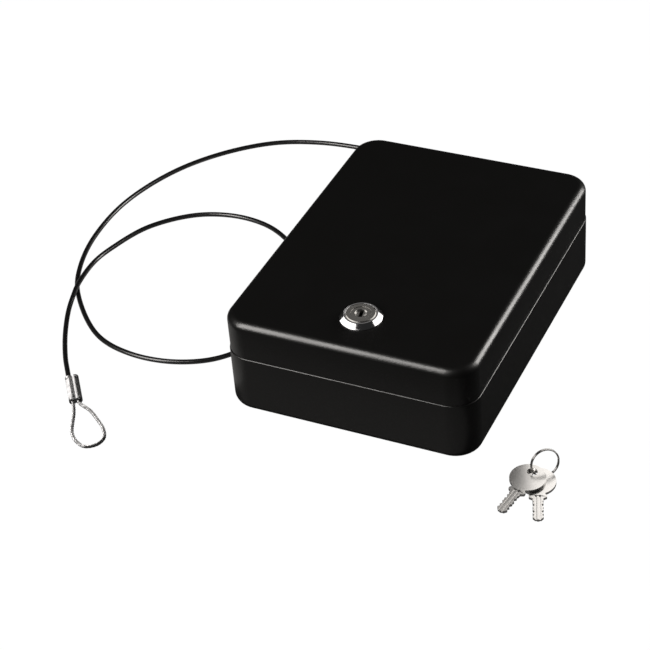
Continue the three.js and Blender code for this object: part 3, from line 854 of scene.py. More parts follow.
@dataclass
class Studio:
    """The camera at the photograph's angle, a plain pale floor and soft lights.

    Args:
        lens: the camera's focal length, in millimetres.
        sensor: the width of its sensor, in millimetres.
        clip: how near it sees, in metres.
        eye: where the camera stands, in metres.
        right: the direction of the picture's right-hand side.
        down: the direction of its lower side.
        floor_half: half of the floor's width, in metres.
        ground: how far the floor lies under the safe, in metres.
        paper: how much of the soft light the floor gives back.
        dim: how bright the ground is to every ray but the camera's own.
        lights: the soft lights.
    """

    lens: float = 108.614
    sensor: float = 36.0
    clip: float = 0.01
    eye: Triple = (0.43797, -0.97576, 0.821595)
    right: Triple = (0.90765, 0.4141, -0.06854)
    down: Triple = (0.20208, -0.57424, -0.79336)
    floor_half: float = 6.0
    ground: float = 0.0002
    paper: float = 0.4
    dim: float = 0.02
    lights: tuple[SoftBox, ...] = (
        SoftBox("front light", (0, -0.02, 0.04), (-0.46, -0.67, 0.62), 1.3, (0.6, 1.05), 27, "coat"),
        SoftBox("rear light", (0, -0.02, 0.04), (0.65, 0.69, 0.31), 1.3, (0.4, 0.8), 15, "coat"),
        SoftBox("lock left card", (0, -0.085, 0.073), (-0.7, -0.55, 0.45), 0.5, (1.3, 0.5), 4.1, "lock"),
        SoftBox("lock right card", (0, -0.085, 0.073), (0.58, 0.68, 0.38), 0.6, (0.75, 0.5), 2.4, "lock"),
        SoftBox("lock rear card", (0, -0.085, 0.073), (-0.66, 0.72, 0.18), 0.5, (0.14, 0.14), 0.12, "lock"),
        SoftBox("lock fill", (0, -0.085, 0.073), (-0.35, 0.72, 0.6), 0.5, (0.4, 0.4), 0.08, "lock"),
        SoftBox("rope card", (-0.19, -0.15, 0), (-0.91, 0.33, 0.27), 0.5, (0.5, 0.3), 0.8, "metal"),
        SoftBox("rope high card", (-0.17, -0.16, 0), (-0.56, 0, 0.83), 0.5, (0.2, 0.2), 1.2, "metal"),
        SoftBox("rope rear card", (-0.17, -0.16, 0), (-0.5, 0.86, 0.1), 0.5, (0.26, 0.2), 0.5, "metal"),
        SoftBox("rope front card", (-0.17, -0.16, 0), (-0.37, -0.64, 0.67), 0.5, (0.15, 0.15), 0.9, "metal"),
        SoftBox("key card", (0.1895, -0.0935, 0), (-0.25, 0.61, 0.75), 0.14, (0.14, 0.22), 0.145, "keys"),
        SoftBox(
            "blade card", (0.1181, -0.148, 0.0218), (-0.25, 0.61, 0.75), 0.14, (0.034, 0.03), 0.002, "keys"
        ),
        SoftBox("key side card", (0.13, -0.12, 0), (0.85, 0.4, 0.3), 0.4, (0.3, 0.25), 0.45, "keys"),
        SoftBox("key front card", (0.13, -0.12, 0), (-0.37, -0.64, 0.67), 0.4, (0.2, 0.2), 0.5, "keys"),
        SoftBox("key left card", (0.12, -0.12, 0), (-0.9, 0.1, 0.4), 0.4, (0.2, 0.2), 0.35, "keys"),
        SoftBox("hardware front card", (0, -0.05, 0.05), (0.1, -0.7, 0.7), 0.8, (0.9, 0.6), 1.6, "hardware"),
        SoftBox("hardware rear card", (0, 0.12, 0.04), (-0.2, 0.9, 0.4), 0.6, (0.6, 0.3), 0.6, "hardware"),
        SoftBox("hardware low card", (0, 0, 0.01), (0, 0, -1), LOW_CARD, (0.5, 0.6), 0.1, "hardware"),
        SoftBox("rear floor card", (-0.13, 0.27, 0.01), (0, 0, -1), LOW_CARD, (0.34, 0.28), 0.1, "coat"),
        SoftBox("front floor card", (0, -0.15, 0.01), (0, 0, -1), LOW_CARD, (0.24, 0.06), 0.006, "coat"),
        SoftBox("left floor card", (-0.22, 0, 0.01), (0, 0, -1), LOW_CARD, (0.24, 0.3), 0.08, "coat"),
        SoftBox("key bounce", (0.13, -0.12, 0.01), (0, 0, -1), LOW_CARD, (0.4, 0.4), 0.04, "keys"),
    )

    @staticmethod
    def pieces(group: str) -> bpy.types.Collection:
        """The pieces that one group of lights falls on."""
        known = bpy.data.collections.get(f"lit {group}")
        return known or bpy.data.collections.new(f"lit {group}")

    @staticmethod
    def sort(piece: bpy.types.Object, finish: Finish) -> None:
        """Puts a piece in the group of pieces that its finish belongs to.

        Args:
            piece: the finished piece.
            finish: its surface.
        """
        group = Studio.pieces(finish.lit)
        if piece.name not in group.objects:
            group.objects.link(piece)

    def set_camera(self) -> None:
        """Stands the camera where the photograph was taken from."""
        data = bpy.data.cameras.new("camera")
        data.sensor_width = self.sensor
        data.lens = self.lens
        data.clip_start = self.clip
        camera = bpy.data.objects.new("camera", data)
        right, down = Vector(self.right).normalized(), Vector(self.down).normalized()
        camera.matrix_world = at(*self.eye) @ axes(right, -down, right.cross(-down))
        bpy.context.scene.collection.objects.link(camera)
        bpy.context.scene.camera = camera
        log.info("camera %.1f mm at %s", self.lens, self.eye)

    def ground_seen(self, board: NodeBoard, kind: str) -> bpy.types.NodeSocket:
        """A plain white ground to the camera, and a dim one to every other ray.

        Args:
            board: the board of the floor's material or of the world.
            kind: the Blender type of the node that glows.

        Returns:
            The shader's socket.
        """
        white = (1, 1, 1, 1)
        pale = board.add(kind, {"Color": white, "Strength": 1.0})
        dim = board.add(kind, {"Color": white, "Strength": self.dim})
        path = board.add("ShaderNodeLightPath")
        seen = {0: path.outputs["Is Camera Ray"], 1: dim.outputs[0], 2: pale.outputs[0]}
        return board.add("ShaderNodeMixShader", seen).outputs[0]

    def lay_floor(self) -> None:
        """Lays the plain pale floor that the safe stands on."""
        clear_selection()
        bpy.ops.mesh.primitive_plane_add(size=2 * self.floor_half, location=(0, 0, -self.ground))
        floor = bpy.context.object
        floor.name = "studio_floor"
        made = bpy.data.materials.new("studio floor")
        made.use_nodes = True
        made.node_tree.nodes.clear()
        board = NodeBoard(made.node_tree)
        paper = board.add("ShaderNodeBsdfDiffuse", {"Color": (self.paper, self.paper, self.paper, 1)})
        seen = self.ground_seen(board, "ShaderNodeEmission")
        both = board.add("ShaderNodeAddShader", {0: seen, 1: paper.outputs[0]})
        board.add("ShaderNodeOutputMaterial", {"Surface": both.outputs[0]})
        floor.data.materials.append(made)

    def light_world(self) -> None:
        """Fills the room with a pale ground for the camera and a dim one for the gloss, and lights it."""
        world = bpy.data.worlds.new("studio")
        world.use_nodes = True
        world.node_tree.nodes.clear()
        board = NodeBoard(world.node_tree)
        board.add("ShaderNodeOutputWorld", {"Surface": self.ground_seen(board, "ShaderNodeBackground")})
        bpy.context.scene.world = world
        for light in self.lights:
            light.place()

    def build(self) -> None:
        """Sets up the floor, the room and its lights."""
        bpy.context.scene.view_settings.view_transform = "Standard"
        self.lay_floor()
        self.light_world()


# Lines and tubes


def smooth_line(points: Sequence[Triple], steps: int) -> list[Vector]:
    """Carries a smooth line through given points.

    Args:
        points: the points, first to last.
        steps: how many short stretches lie between two of them.

    Returns:
        The line's points, close together.
    """
    given = [Vector(p) for p in points]
    given = [2 * given[0] - given[1], *given, 2 * given[-1] - given[-2]]
    line = []
    for i in range(1, len(given) - 2):
        a, b, c, d = given[i - 1 : i + 3]
        t1 = math.sqrt((b - a).length)
        t2 = t1 + math.sqrt((c - b).length)
        t3 = t2 + math.sqrt((d - c).length)
        for k in range(steps):
            t = t1 + (t2 - t1) * k / steps
            ab = a.lerp(b, t / t1)
            bc = b.lerp(c, (t - t1) / (t2 - t1))
            cd = c.lerp(d, (t - t2) / (t3 - t2))
            abc = ab.lerp(bc, t / t2)
            bcd = bc.lerp(cd, (t - t1) / (t3 - t1))
            line.append(abc.lerp(bcd, (t - t1) / (t2 - t1)))
    line.append(given[-2])
    return line


def tube(name: str, lines: Sequence[Sequence[Vector]], radius: float, roundness: int) -> bpy.types.Object:
    """Draws round wires along lines, with flat ends.

    Args:
        name: the piece's name.
        lines: one line of points for each wire.
        radius: the wires' radius.
        roundness: Blender's bevel resolution.

    Returns:
        The curve object.
    """
    curve = bpy.data.curves.new(name, "CURVE")
    curve.dimensions = "3D"
    curve.bevel_depth = radius
    curve.bevel_resolution = roundness
    curve.use_fill_caps = True
    for line in lines:
        spline = curve.splines.new("POLY")
        spline.points.add(len(line) - 1)
        for point, place in zip(spline.points, line):
            point.co = (*place, 1)
    wire = bpy.data.objects.new(name, curve)
    bpy.context.collection.objects.link(wire)
    return wire


def wires(name: str, lines: Sequence[Sequence[Vector]], radius: float, roundness: int) -> Workpiece:
    """Draws round wires along lines and makes one mesh of them.

    Args:
        name: the piece's name.
        lines: one line of points for each wire, in millimetres.
        radius: the wires' radius.
        roundness: Blender's bevel resolution.

    Returns:
        The new workpiece.
    """
    wire = tube(name, lines, radius, roundness)
    clear_selection()
    wire.select_set(True)
    bpy.context.view_layer.objects.active = wire
    bpy.ops.object.convert(target="MESH")
    work = Workpiece(name, bpy.context.object)
    work.edit()
    work.close(MERGED / 2)
    return work


def twisted(line: Sequence[Vector], strands: int, offset: float, pitch: float) -> list[list[Vector]]:
    """Lays strands round a line as in a wire rope.

    Args:
        line: the rope's centre line.
        strands: how many strands lie round it.
        offset: how far their centres stand from it.
        pitch: the length of one turn.

    Returns:
        One line for each strand.
    """
    laid: list[list[Vector]] = [[] for _ in range(strands)]
    along = (line[1] - line[0]).normalized()
    side = along.orthogonal().normalized()
    travelled = 0.0
    for i, place in enumerate(line):
        ahead = line[min(i + 1, len(line) - 1)]
        behind = line[max(i - 1, 0)]
        along = (ahead - behind).normalized()
        side = (side - along * side.dot(along)).normalized()
        across = along.cross(side)
        if i:
            travelled += (place - line[i - 1]).length
        for k in range(strands):
            angle = 2 * math.pi * (k / strands + travelled / pitch)
            laid[k].append(place + (side * math.cos(angle) + across * math.sin(angle)) * offset)
    return laid


# Tether cable


@dataclass
class Tether:
    """The cable with its grommet, stop sleeve, ferrule and bare rope eye. Millimetres.

    Args:
        diameter: the coated cable's diameter.
        exit: where its free length starts, in metres.
        route: the points that the free length follows, in metres.
        rope_diameter: the bare rope's diameter.
        strands: how many strands lie round its core.
        strand_pitch: the length of one turn of the strands.
        ferrule_start: the middle of the ferrule's first face.
        ferrule_heading: the direction that the ferrule runs in, in degrees from +X.
        ferrule_lead: how far in front of the ferrule the cable is in line with it.
        barrel_spacing: how far apart the axes of its two barrels are.
        crimp_share: how far out a barrel's crimped flat lies, for its radius.
        crimp_tilt: how far round the barrel that flat is turned, in degrees.
        crimp_end: how much of the barrel stays round at each end.
        die: how far out the crimping die reaches, and half of its width.
        overcut: how far a bore is drawn past the ferrule's face.
        bores: for each of the ferrule's bores its side, its radius, and how far in from the first
            face, or from the last if it is below zero, its floor lies.
        stub: places along the second barrel that the rope's cut end runs through.
        rope_start: how far inside the ferrule's last face the eye's rope starts.
        rope_clear: how far beyond that face it leaves the barrel straight, past its own thickness.
        rope_seat: how far inside that face the coated cable ends.
        eye_route: the points that the eye follows.
        rear_face: where the rear wall's outer face lies along Y.
        steel: the wall's thickness.
        sleeve_gap: how far behind the grommet the stop sleeve starts.
    """

    diameter: float = 3.5
    exit: Triple = (-0.05, 0.12025, 0.02)
    route: tuple[Triple, ...] = (
        (-0.05, 0.12025, 0.02),
        (-0.05, 0.127, 0.02),
        (-0.05, 0.1345, 0.0193),
        (-0.0505, 0.145, 0.0152),
        (-0.052, 0.157, 0.008),
        (-0.056, 0.169, 0.0031),
        (-0.064, 0.181, 0.00175),
        (-0.078, 0.191, 0.00175),
        (-0.097, 0.197, 0.00175),
        (-0.127, 0.1986, 0.00175),
        (-0.163, 0.1954, 0.00175),
        (-0.1964, 0.1838, 0.00175),
        (-0.2279, 0.1584, 0.00175),
        (-0.2533, 0.1221, 0.00175),
        (-0.269, 0.072, 0.00175),
        (-0.2689, 0.024, 0.00175),
        (-0.2594, -0.0145, 0.00175),
        (-0.2446, -0.043, 0.00175),
        (-0.2055, -0.0822, 0.00175),
        (-0.1745, -0.0926, 0.00175),
        (-0.1425, -0.0908, 0.00175),
        (-0.116, -0.078, 0.00175),
        (-0.099, -0.055, 0.00175),
        (-0.0935, -0.025, 0.00175),
        (-0.096, 0.012, 0.00175),
        (-0.109, 0.046, 0.00175),
        (-0.1315, 0.067, 0.00175),
        (-0.154, 0.0786, 0.00175),
        (-0.182, 0.0814, 0.00175),
        (-0.21, 0.0726, 0.00175),
        (-0.236, 0.0476, 0.00175),
        (-0.249, 0.014, 0.0018),
        (-0.2519, -0.006, 0.0025),
        (-0.2466, -0.038, 0.0057),
        (-0.2429, -0.0515, 0.0055),
        (-0.2386, -0.066, 0.0035),
        (-0.228, -0.089, 0.0019),
        (-0.2142, -0.112, 0.002),
    )
    rope_diameter: float = 2.4
    strands: int = 6
    strand_pitch: float = 14.0
    strand_roundness: int = 2
    cable_roundness: int = 6
    cable_steps: int = 14
    rope_steps: int = 16
    stub_steps: int = 8
    ferrule_start: Triple = (-198.4, -130.2, 2.6)
    ferrule_heading: float = -53.3
    ferrule_length: float = 25.6
    ferrule_lead: float = 10.5
    ferrule_edge: float = 0.25
    barrel_radius: float = 2.6
    barrel_spacing: float = 4.0
    crimp_share: float = 0.82
    crimp_tilt: float = 38.0
    crimp_end: float = 2.2
    die: Pair = (9.0, 6.0)
    overcut: float = 1.0
    bores: tuple[Triple, ...] = ((-1, 1.85, 2.5), (1, 1.35, 2.5), (-1, 1.45, -2.0), (1, 1.45, -2.0))
    stub: Triple = (1.6, 0.4, -0.9)
    rope_start: float = 1.5
    rope_clear: float = 0.3
    rope_seat: float = 3.5
    eye_route: tuple[Triple, ...] = (
        (-178.6, -161.4, 1.6),
        (-175.2, -168.6, 1.2),
        (-170.0, -178.6, 1.2),
        (-163.3, -185.1, 1.2),
        (-155.0, -188.0, 1.2),
        (-148.5, -183.6, 1.2),
        (-147.2, -176.4, 1.2),
        (-152.2, -168.4, 1.2),
        (-160.6, -161.4, 1.2),
        (-169.6, -155.4, 1.7),
    )
    rear_face: float = 118.15
    steel: float = 1.2
    flange_radius: float = 7.0
    flange_thickness: float = 1.8
    flange_rounding: float = 0.7
    neck_radius: float = 4.8
    bore_clearance: float = 0.3
    tail_length: float = 18.0
    tail_edge: float = 0.2
    sleeve_radius: float = 4.1
    sleeve_length: float = 11.0
    sleeve_gap: float = 0.5
    sleeve_rounding: float = 0.6

    def on_barrel(self, side: int, distance: float) -> Vector:
        """A place on the axis of one barrel.

        Args:
            side: -1 for the cable's barrel and 1 for the one that the rope comes back to.
            distance: how far along the ferrule the place is.

        Returns:
            The place.
        """
        along = pointing(self.ferrule_heading)
        across = UP.cross(along)
        return Vector(self.ferrule_start) + along * distance + across * (side * self.barrel_spacing / 2)

    def set_in_wall(self, work: Workpiece, finish: Finish, node: str) -> None:
        """Sets a piece in the rear wall, its own Z axis running out of it.

        Args:
            work: the workpiece.
            finish: the surface that it gets.
            node: the plain solid that it stands for.
        """
        x, _, z = (c / MILLIMETRE for c in self.exit)
        work.smooth()
        work.move(at(x, self.rear_face, z) @ turn("X", -90))
        work.settle(finish, "base", node)

    def lay_cable(self) -> None:
        """Lays the coated cable along its route, into the ferrule's first barrel.
        """
        stations = (-self.ferrule_lead, -self.ferrule_lead / 2, 0, self.ferrule_length - self.rope_seat)
        ends = [tuple(self.on_barrel(-1, distance) * MILLIMETRE) for distance in stations]
        line = smooth_line([*self.route, *ends], self.cable_steps)
        cable = tube("tether_cable", [line], self.diameter / 2 * MILLIMETRE, self.cable_roundness)
        fit(cable, VINYL, "base", "cable")

    def make_ferrule(self) -> bpy.types.Object:
        """Presses two barrels into one ferrule, bored for the cable and for the rope.

        Returns:
            The ferrule.
        """
        reach, length = self.barrel_spacing / 2, self.ferrule_length
        work = Workpiece.rod("crimp_ferrule", self.barrel_radius, 0, length)
        work.move(at(0, -reach, 0))
        other = Workpiece.rod("second barrel", self.barrel_radius, 0, length)
        other.move(at(0, reach, 0))
        work.join(other)
        depth, half = self.die
        flat, end = self.crimp_share * self.barrel_radius, self.crimp_end
        for side in (-1, 1):
            die = Workpiece.box("die", (-depth, -half, end), (-flat, half, length - end))
            die.move(at(0, side * reach, 0) @ turn("Z", -side * self.crimp_tilt))
            work.cut(die)
        for side, radius, floor in self.bores:
            low, high = (-self.overcut, floor) if floor > 0 else (length + floor, length + self.overcut)
            bore = Workpiece.rod("bore", radius, low, high, SLIM)
            bore.move(at(0, side * reach, 0))
            work.cut(bore)
        work.polish(self.ferrule_edge)
        along = pointing(self.ferrule_heading)
        across = UP.cross(along)
        work.move(at(*self.ferrule_start) @ axes(across.cross(along), across, along))
        return work.settle(ALUMINIUM, "base", "cable_ferrule")

    def make_eye(self) -> bpy.types.Object:
        """Twists the bare rope of the eye, and the cut end that shows beyond the second barrel.

        Returns:
            The rope.
        """
        inside = self.ferrule_length - self.rope_start
        beyond = self.ferrule_length + self.rope_clear + self.rope_diameter
        out, back = ([tuple(self.on_barrel(side, d)) for d in (inside, beyond)] for side in (-1, 1))
        line = smooth_line([*out, *self.eye_route, *reversed(back)], self.rope_steps)
        stub = smooth_line([tuple(self.on_barrel(1, distance)) for distance in self.stub], self.stub_steps)
        # Three strands lie side by side across the rope, so this is the radius of one.
        strand = self.rope_diameter / 6
        lines = [line, stub]
        for core in (line, stub):
            lines += twisted(core, self.strands, 2 * strand, self.strand_pitch)
        work = wires("rope_eye", lines, strand, self.strand_roundness)
        work.smooth(GENTLE)
        return work.settle(WIRE_ROPE, "base", "cable_eye")

    def make_grommet(self) -> None:
        """Moulds the rubber grommet that the cable passes through."""
        bore = self.diameter / 2 + self.bore_clearance
        inner = -self.steel - self.flange_thickness
        work = Workpiece.turned(
            "wall_grommet",
            [
                (bore, self.flange_thickness),
                (self.flange_radius, self.flange_thickness),
                (self.flange_radius, 0),
                (self.neck_radius, 0),
                (self.neck_radius, -self.steel),
                (self.flange_radius, -self.steel),
                (self.flange_radius, inner),
                (bore, inner),
            ],
        )
        work.soften(self.flange_rounding, 4)
        self.set_in_wall(work, RUBBER, "cable_grommet")

    def make_tail(self) -> None:
        """Makes the cable's tail inside the case and the sleeve crimped on it."""
        radius = self.diameter / 2
        tail = Workpiece.rod("cable_stub", radius, -self.tail_length, self.flange_thickness, SLIM)
        tail.soften(self.tail_edge)
        self.set_in_wall(tail, VINYL, "cable_tail")
        near = -self.steel - self.flange_thickness - self.sleeve_gap
        far = near - self.sleeve_length
        bore = radius + self.bore_clearance
        ring = [(bore, near), (self.sleeve_radius, near), (self.sleeve_radius, far), (bore, far)]
        sleeve = Workpiece.turned("stop_sleeve", ring, PLAIN)
        sleeve.soften(self.sleeve_rounding, 4)
        self.set_in_wall(sleeve, SLEEVE, "cable_stop_sleeve")

    def build(self) -> None:
        """Makes the cable and everything on it."""
        ferrule = self.make_ferrule()
        eye = self.make_eye()
        self.lay_cable()
        self.make_grommet()
        self.make_tail()


# Case


@dataclass
class PressedCase:
    """The lid and the base, drawn from sheet steel, with a foam pad in each. Millimetres.

    Args:
        rim_proud: how far the base's rim stands out past the lid.
        lip_height: how high the base's lip stands over its rim, inside the lid.
        lip_inset: how far in from the rim the lip stands.
        lock_setback: how far behind the lid's front face the lock's axis stands.
        knuckle_reach: how far over and under the hinges' axis the notches reach.
        notch_slack: how far past the steel the notches are cut.
        overcut: how far a cutting shape reaches past what it cuts.
        base_ledge: how far inside the base's wall its pad keeps for the lip.
        relief_radius: the radius of the hole in the lid's pad, round the lock.
        swell_size: the size of the unevenness of the pads' faces.
        swell_height: its height.
        swell_middle: the part of it that sinks in.
        fine_grid: how fine the pads' meshes are.
    """

    lid_width: float = 172.7
    lid_depth: float = 235.3
    lid_height: float = 27.2
    base_height: float = 43.6
    steel: float = 1.2
    lid_corner: float = 17.6
    lid_fillet: float = 5.5
    base_fillet: float = 6.5
    rim_proud: float = 0.5
    rim_rounding: float = 0.75
    seam_gap: float = 0.3
    lip_height: float = 4.5
    lip_inset: float = 2.1
    lock_setback: float = 33.1
    lock_hole_radius: float = 9.6
    lock_hole_half_flat: float = 8.3
    hinge_offset: float = 47.0
    notch_half: float = 21.0
    knuckle_reach: float = 3.5
    hinge_height: float = 43.75
    exit_offset: float = -50.0
    exit_height: float = 20.0
    exit_radius: float = 5.0
    overcut: float = 5.0
    corner_segments: int = 24
    fillet_segments: int = 12
    lid_edge: float = 0.35
    base_edge: float = 0.2
    notch_slack: float = 0.5
    foam_thickness: float = 4.0
    foam_edge: float = 1.3
    foam_seat: float = 0.3
    foam_clearance: float = 0.5
    foam_fill: float = 0.8
    base_ledge: float = 1.4
    relief_radius: float = 16.4
    swell_size: float = 28.0
    swell_height: float = 0.35
    swell_middle: float = 0.6
    fine_grid: float = 1.3
    quick_grid: float = 4.0

    @property
    def lid_rim(self) -> float:
        """The height of the lid's lower edge."""
        return self.base_height + self.seam_gap

    @property
    def lid_top(self) -> float:
        """The height of the lid's upper face."""
        return self.lid_rim + self.lid_height

    @property
    def lock_y(self) -> float:
        """Where the lock's axis stands along Y."""
        return self.lock_setback - self.lid_depth / 2

    def rounded_box(self, name: str, half: Pair, bottom: float, top: float, corner: float) -> Workpiece:
        """Starts a pressing: a box with round upright corners, left in edit mode.

        Args:
            name: the piece's name.
            half: half of its width and depth.
            bottom: the height of its underside.
            top: the height of its upper side.
            corner: the radius of its corners.

        Returns:
            The workpiece.
        """
        x, y = half
        work = Workpiece.box(name, (-x, -y, bottom), (x, y, top))
        work.edit()
        work.round_edges(corner, self.corner_segments, running("z"))
        return work

    def notch_hinges(self, work: Workpiece, front: float, low: float, high: float) -> None:
        """Cuts the notches that the knuckles stand in.

        Args:
            work: the shell to cut.
            front: how far forward the notches reach.
            low: their lower edge.
            high: their upper edge.
        """
        back = self.lid_depth / 2 + 2 * self.steel
        for side in Side:
            x, half = side.value * self.hinge_offset, self.notch_half
            work.cut(Workpiece.box("notch", (x - half, front, low), (x + half, back, high)))

    def press_lid(self) -> None:
        """Draws the lid, pierces it for the lock and notches it for the hinges."""
        half = (self.lid_width / 2, self.lid_depth / 2)
        work = self.rounded_box("lid_cover", half, self.lid_rim, self.lid_top, self.lid_corner)
        work.choose(Pick.FACES, facing("z", -1))
        bpy.ops.mesh.delete(type="ONLY_FACE")
        work.round_edges(self.lid_fillet, self.fillet_segments, level(z=self.lid_top))
        work.leave()
        work.modify("SOLIDIFY", thickness=self.steel, offset=-1, use_even_offset=True)
        above = self.lid_top + self.overcut
        hole = Workpiece.rod("lock hole", self.lock_hole_radius, self.lid_rim, above, FINE)
        flat, reach = self.lock_hole_half_flat, 2 * self.lock_hole_radius
        low, high = self.lid_rim - self.overcut, above + self.overcut
        hole.keep_within(Workpiece.box("flats", (-flat, -reach, low), (flat, reach, high)))
        hole.move(at(0, self.lock_y, 0))
        work.cut(hole)
        front = self.lid_depth / 2 - self.steel - self.notch_slack
        self.notch_hinges(work, front, low, self.hinge_height + self.knuckle_reach)
        work.polish(self.lid_edge)
        work.settle(POWDER_COAT, "lid", "lid_shell")

    def press_base(self) -> None:
        """Draws the base with its rim, ledge and lip, and pierces its rear wall."""
        half = (self.lid_width / 2 + self.rim_proud, self.lid_depth / 2 + self.rim_proud)
        corner = self.lid_corner + self.rim_proud
        work = self.rounded_box("base_tray", half, 0, self.base_height, corner)
        work.round_edges(self.base_fillet, self.fillet_segments, level(z=0))
        work.choose(Pick.FACES, facing("z", 1))
        bpy.ops.mesh.inset(thickness=self.lip_inset, depth=0)
        bpy.ops.mesh.extrude_region_move(TRANSFORM_OT_translate={"value": (0, 0, self.lip_height)})
        bpy.ops.mesh.delete(type="FACE")
        work.leave()
        work.modify("SOLIDIFY", thickness=self.steel, offset=-1, use_even_offset=True)
        work.edit()
        rim = level(z=self.base_height)
        work.round_edges(
            self.rim_rounding, 4, lambda place, way: rim(place, way) and on_outline(place, half, corner)
        )
        work.leave()
        front = half[1] - self.lip_inset - self.steel - self.notch_slack
        low = self.hinge_height - self.knuckle_reach
        self.notch_hinges(work, front, low, self.base_height + self.lip_height + self.overcut)
        hole = Workpiece.rod("cable hole", self.exit_radius, -self.overcut, self.overcut, SLIM)
        hole.move(at(self.exit_offset, half[1], self.exit_height) @ turn("X", 90))
        work.cut(hole)
        work.polish(self.base_edge, 2)
        work.settle(POWDER_COAT, "base", "base_shell")

    def foam_pad(self, name: str, half: Pair, bottom: float, corner: float) -> Workpiece:
        """Cuts a pad of foam with soft edges.

        Args:
            name: the piece's name.
            half: half of its width and depth.
            bottom: the height of its underside.
            corner: the radius of its corners.

        Returns:
            The workpiece.
        """
        work = self.rounded_box(name, half, bottom, bottom + self.foam_thickness, corner)
        upright = running("z")
        work.round_edges(self.foam_edge, 4, lambda place, way: not upright(place, way))
        work.leave()
        return work

    def swell(self, work: Workpiece, body: str, node: str) -> None:
        """Gives a pad its even, fine mesh and its soft swell, and sets it in its shell.

        Args:
            work: the workpiece.
            body: the body that it rides on.
            node: the plain solid that it stands for.
        """
        grid = self.fine_grid
        work.modify("REMESH", mode="VOXEL", voxel_size=grid)
        clouds = bpy.data.textures.new("foam swell", "CLOUDS")
        clouds.noise_scale = self.swell_size
        swelling = {"strength": self.swell_height, "mid_level": self.swell_middle}
        work.modify("DISPLACE", texture=clouds, texture_coords="LOCAL", **swelling)
        work.smooth(GENTLE)
        work.settle(FOAM, body, node)

    def line_case(self) -> None:
        """Lays the foam pads in the base and under the lid."""
        inset = self.steel + self.foam_clearance + self.base_ledge
        half = (self.lid_width / 2 + self.rim_proud - inset, self.lid_depth / 2 + self.rim_proud - inset)
        bottom = self.steel + self.foam_seat
        self.swell(self.foam_pad("base_foam", half, bottom, self.lid_corner - inset), "base", "base_liner")
        inset = self.lid_fillet + self.foam_clearance
        half = (self.lid_width / 2 - inset, self.lid_depth / 2 - inset)
        bottom = self.lid_top - self.steel - self.foam_seat - self.foam_thickness
        lid = self.foam_pad("lid_foam", half, bottom, self.lid_corner - inset)
        low, high = bottom - self.overcut, bottom + self.foam_thickness + self.overcut
        relief = Workpiece.rod("relief", self.relief_radius, low, high)
        relief.move(at(0, self.lock_y, 0))
        lid.cut(relief)
        self.swell(lid, "lid", "lid_liner")

    def build(self) -> None:
        """Makes both shells and their pads."""
        self.press_lid()
        self.press_base()
        self.line_case()


# Hinges and strike


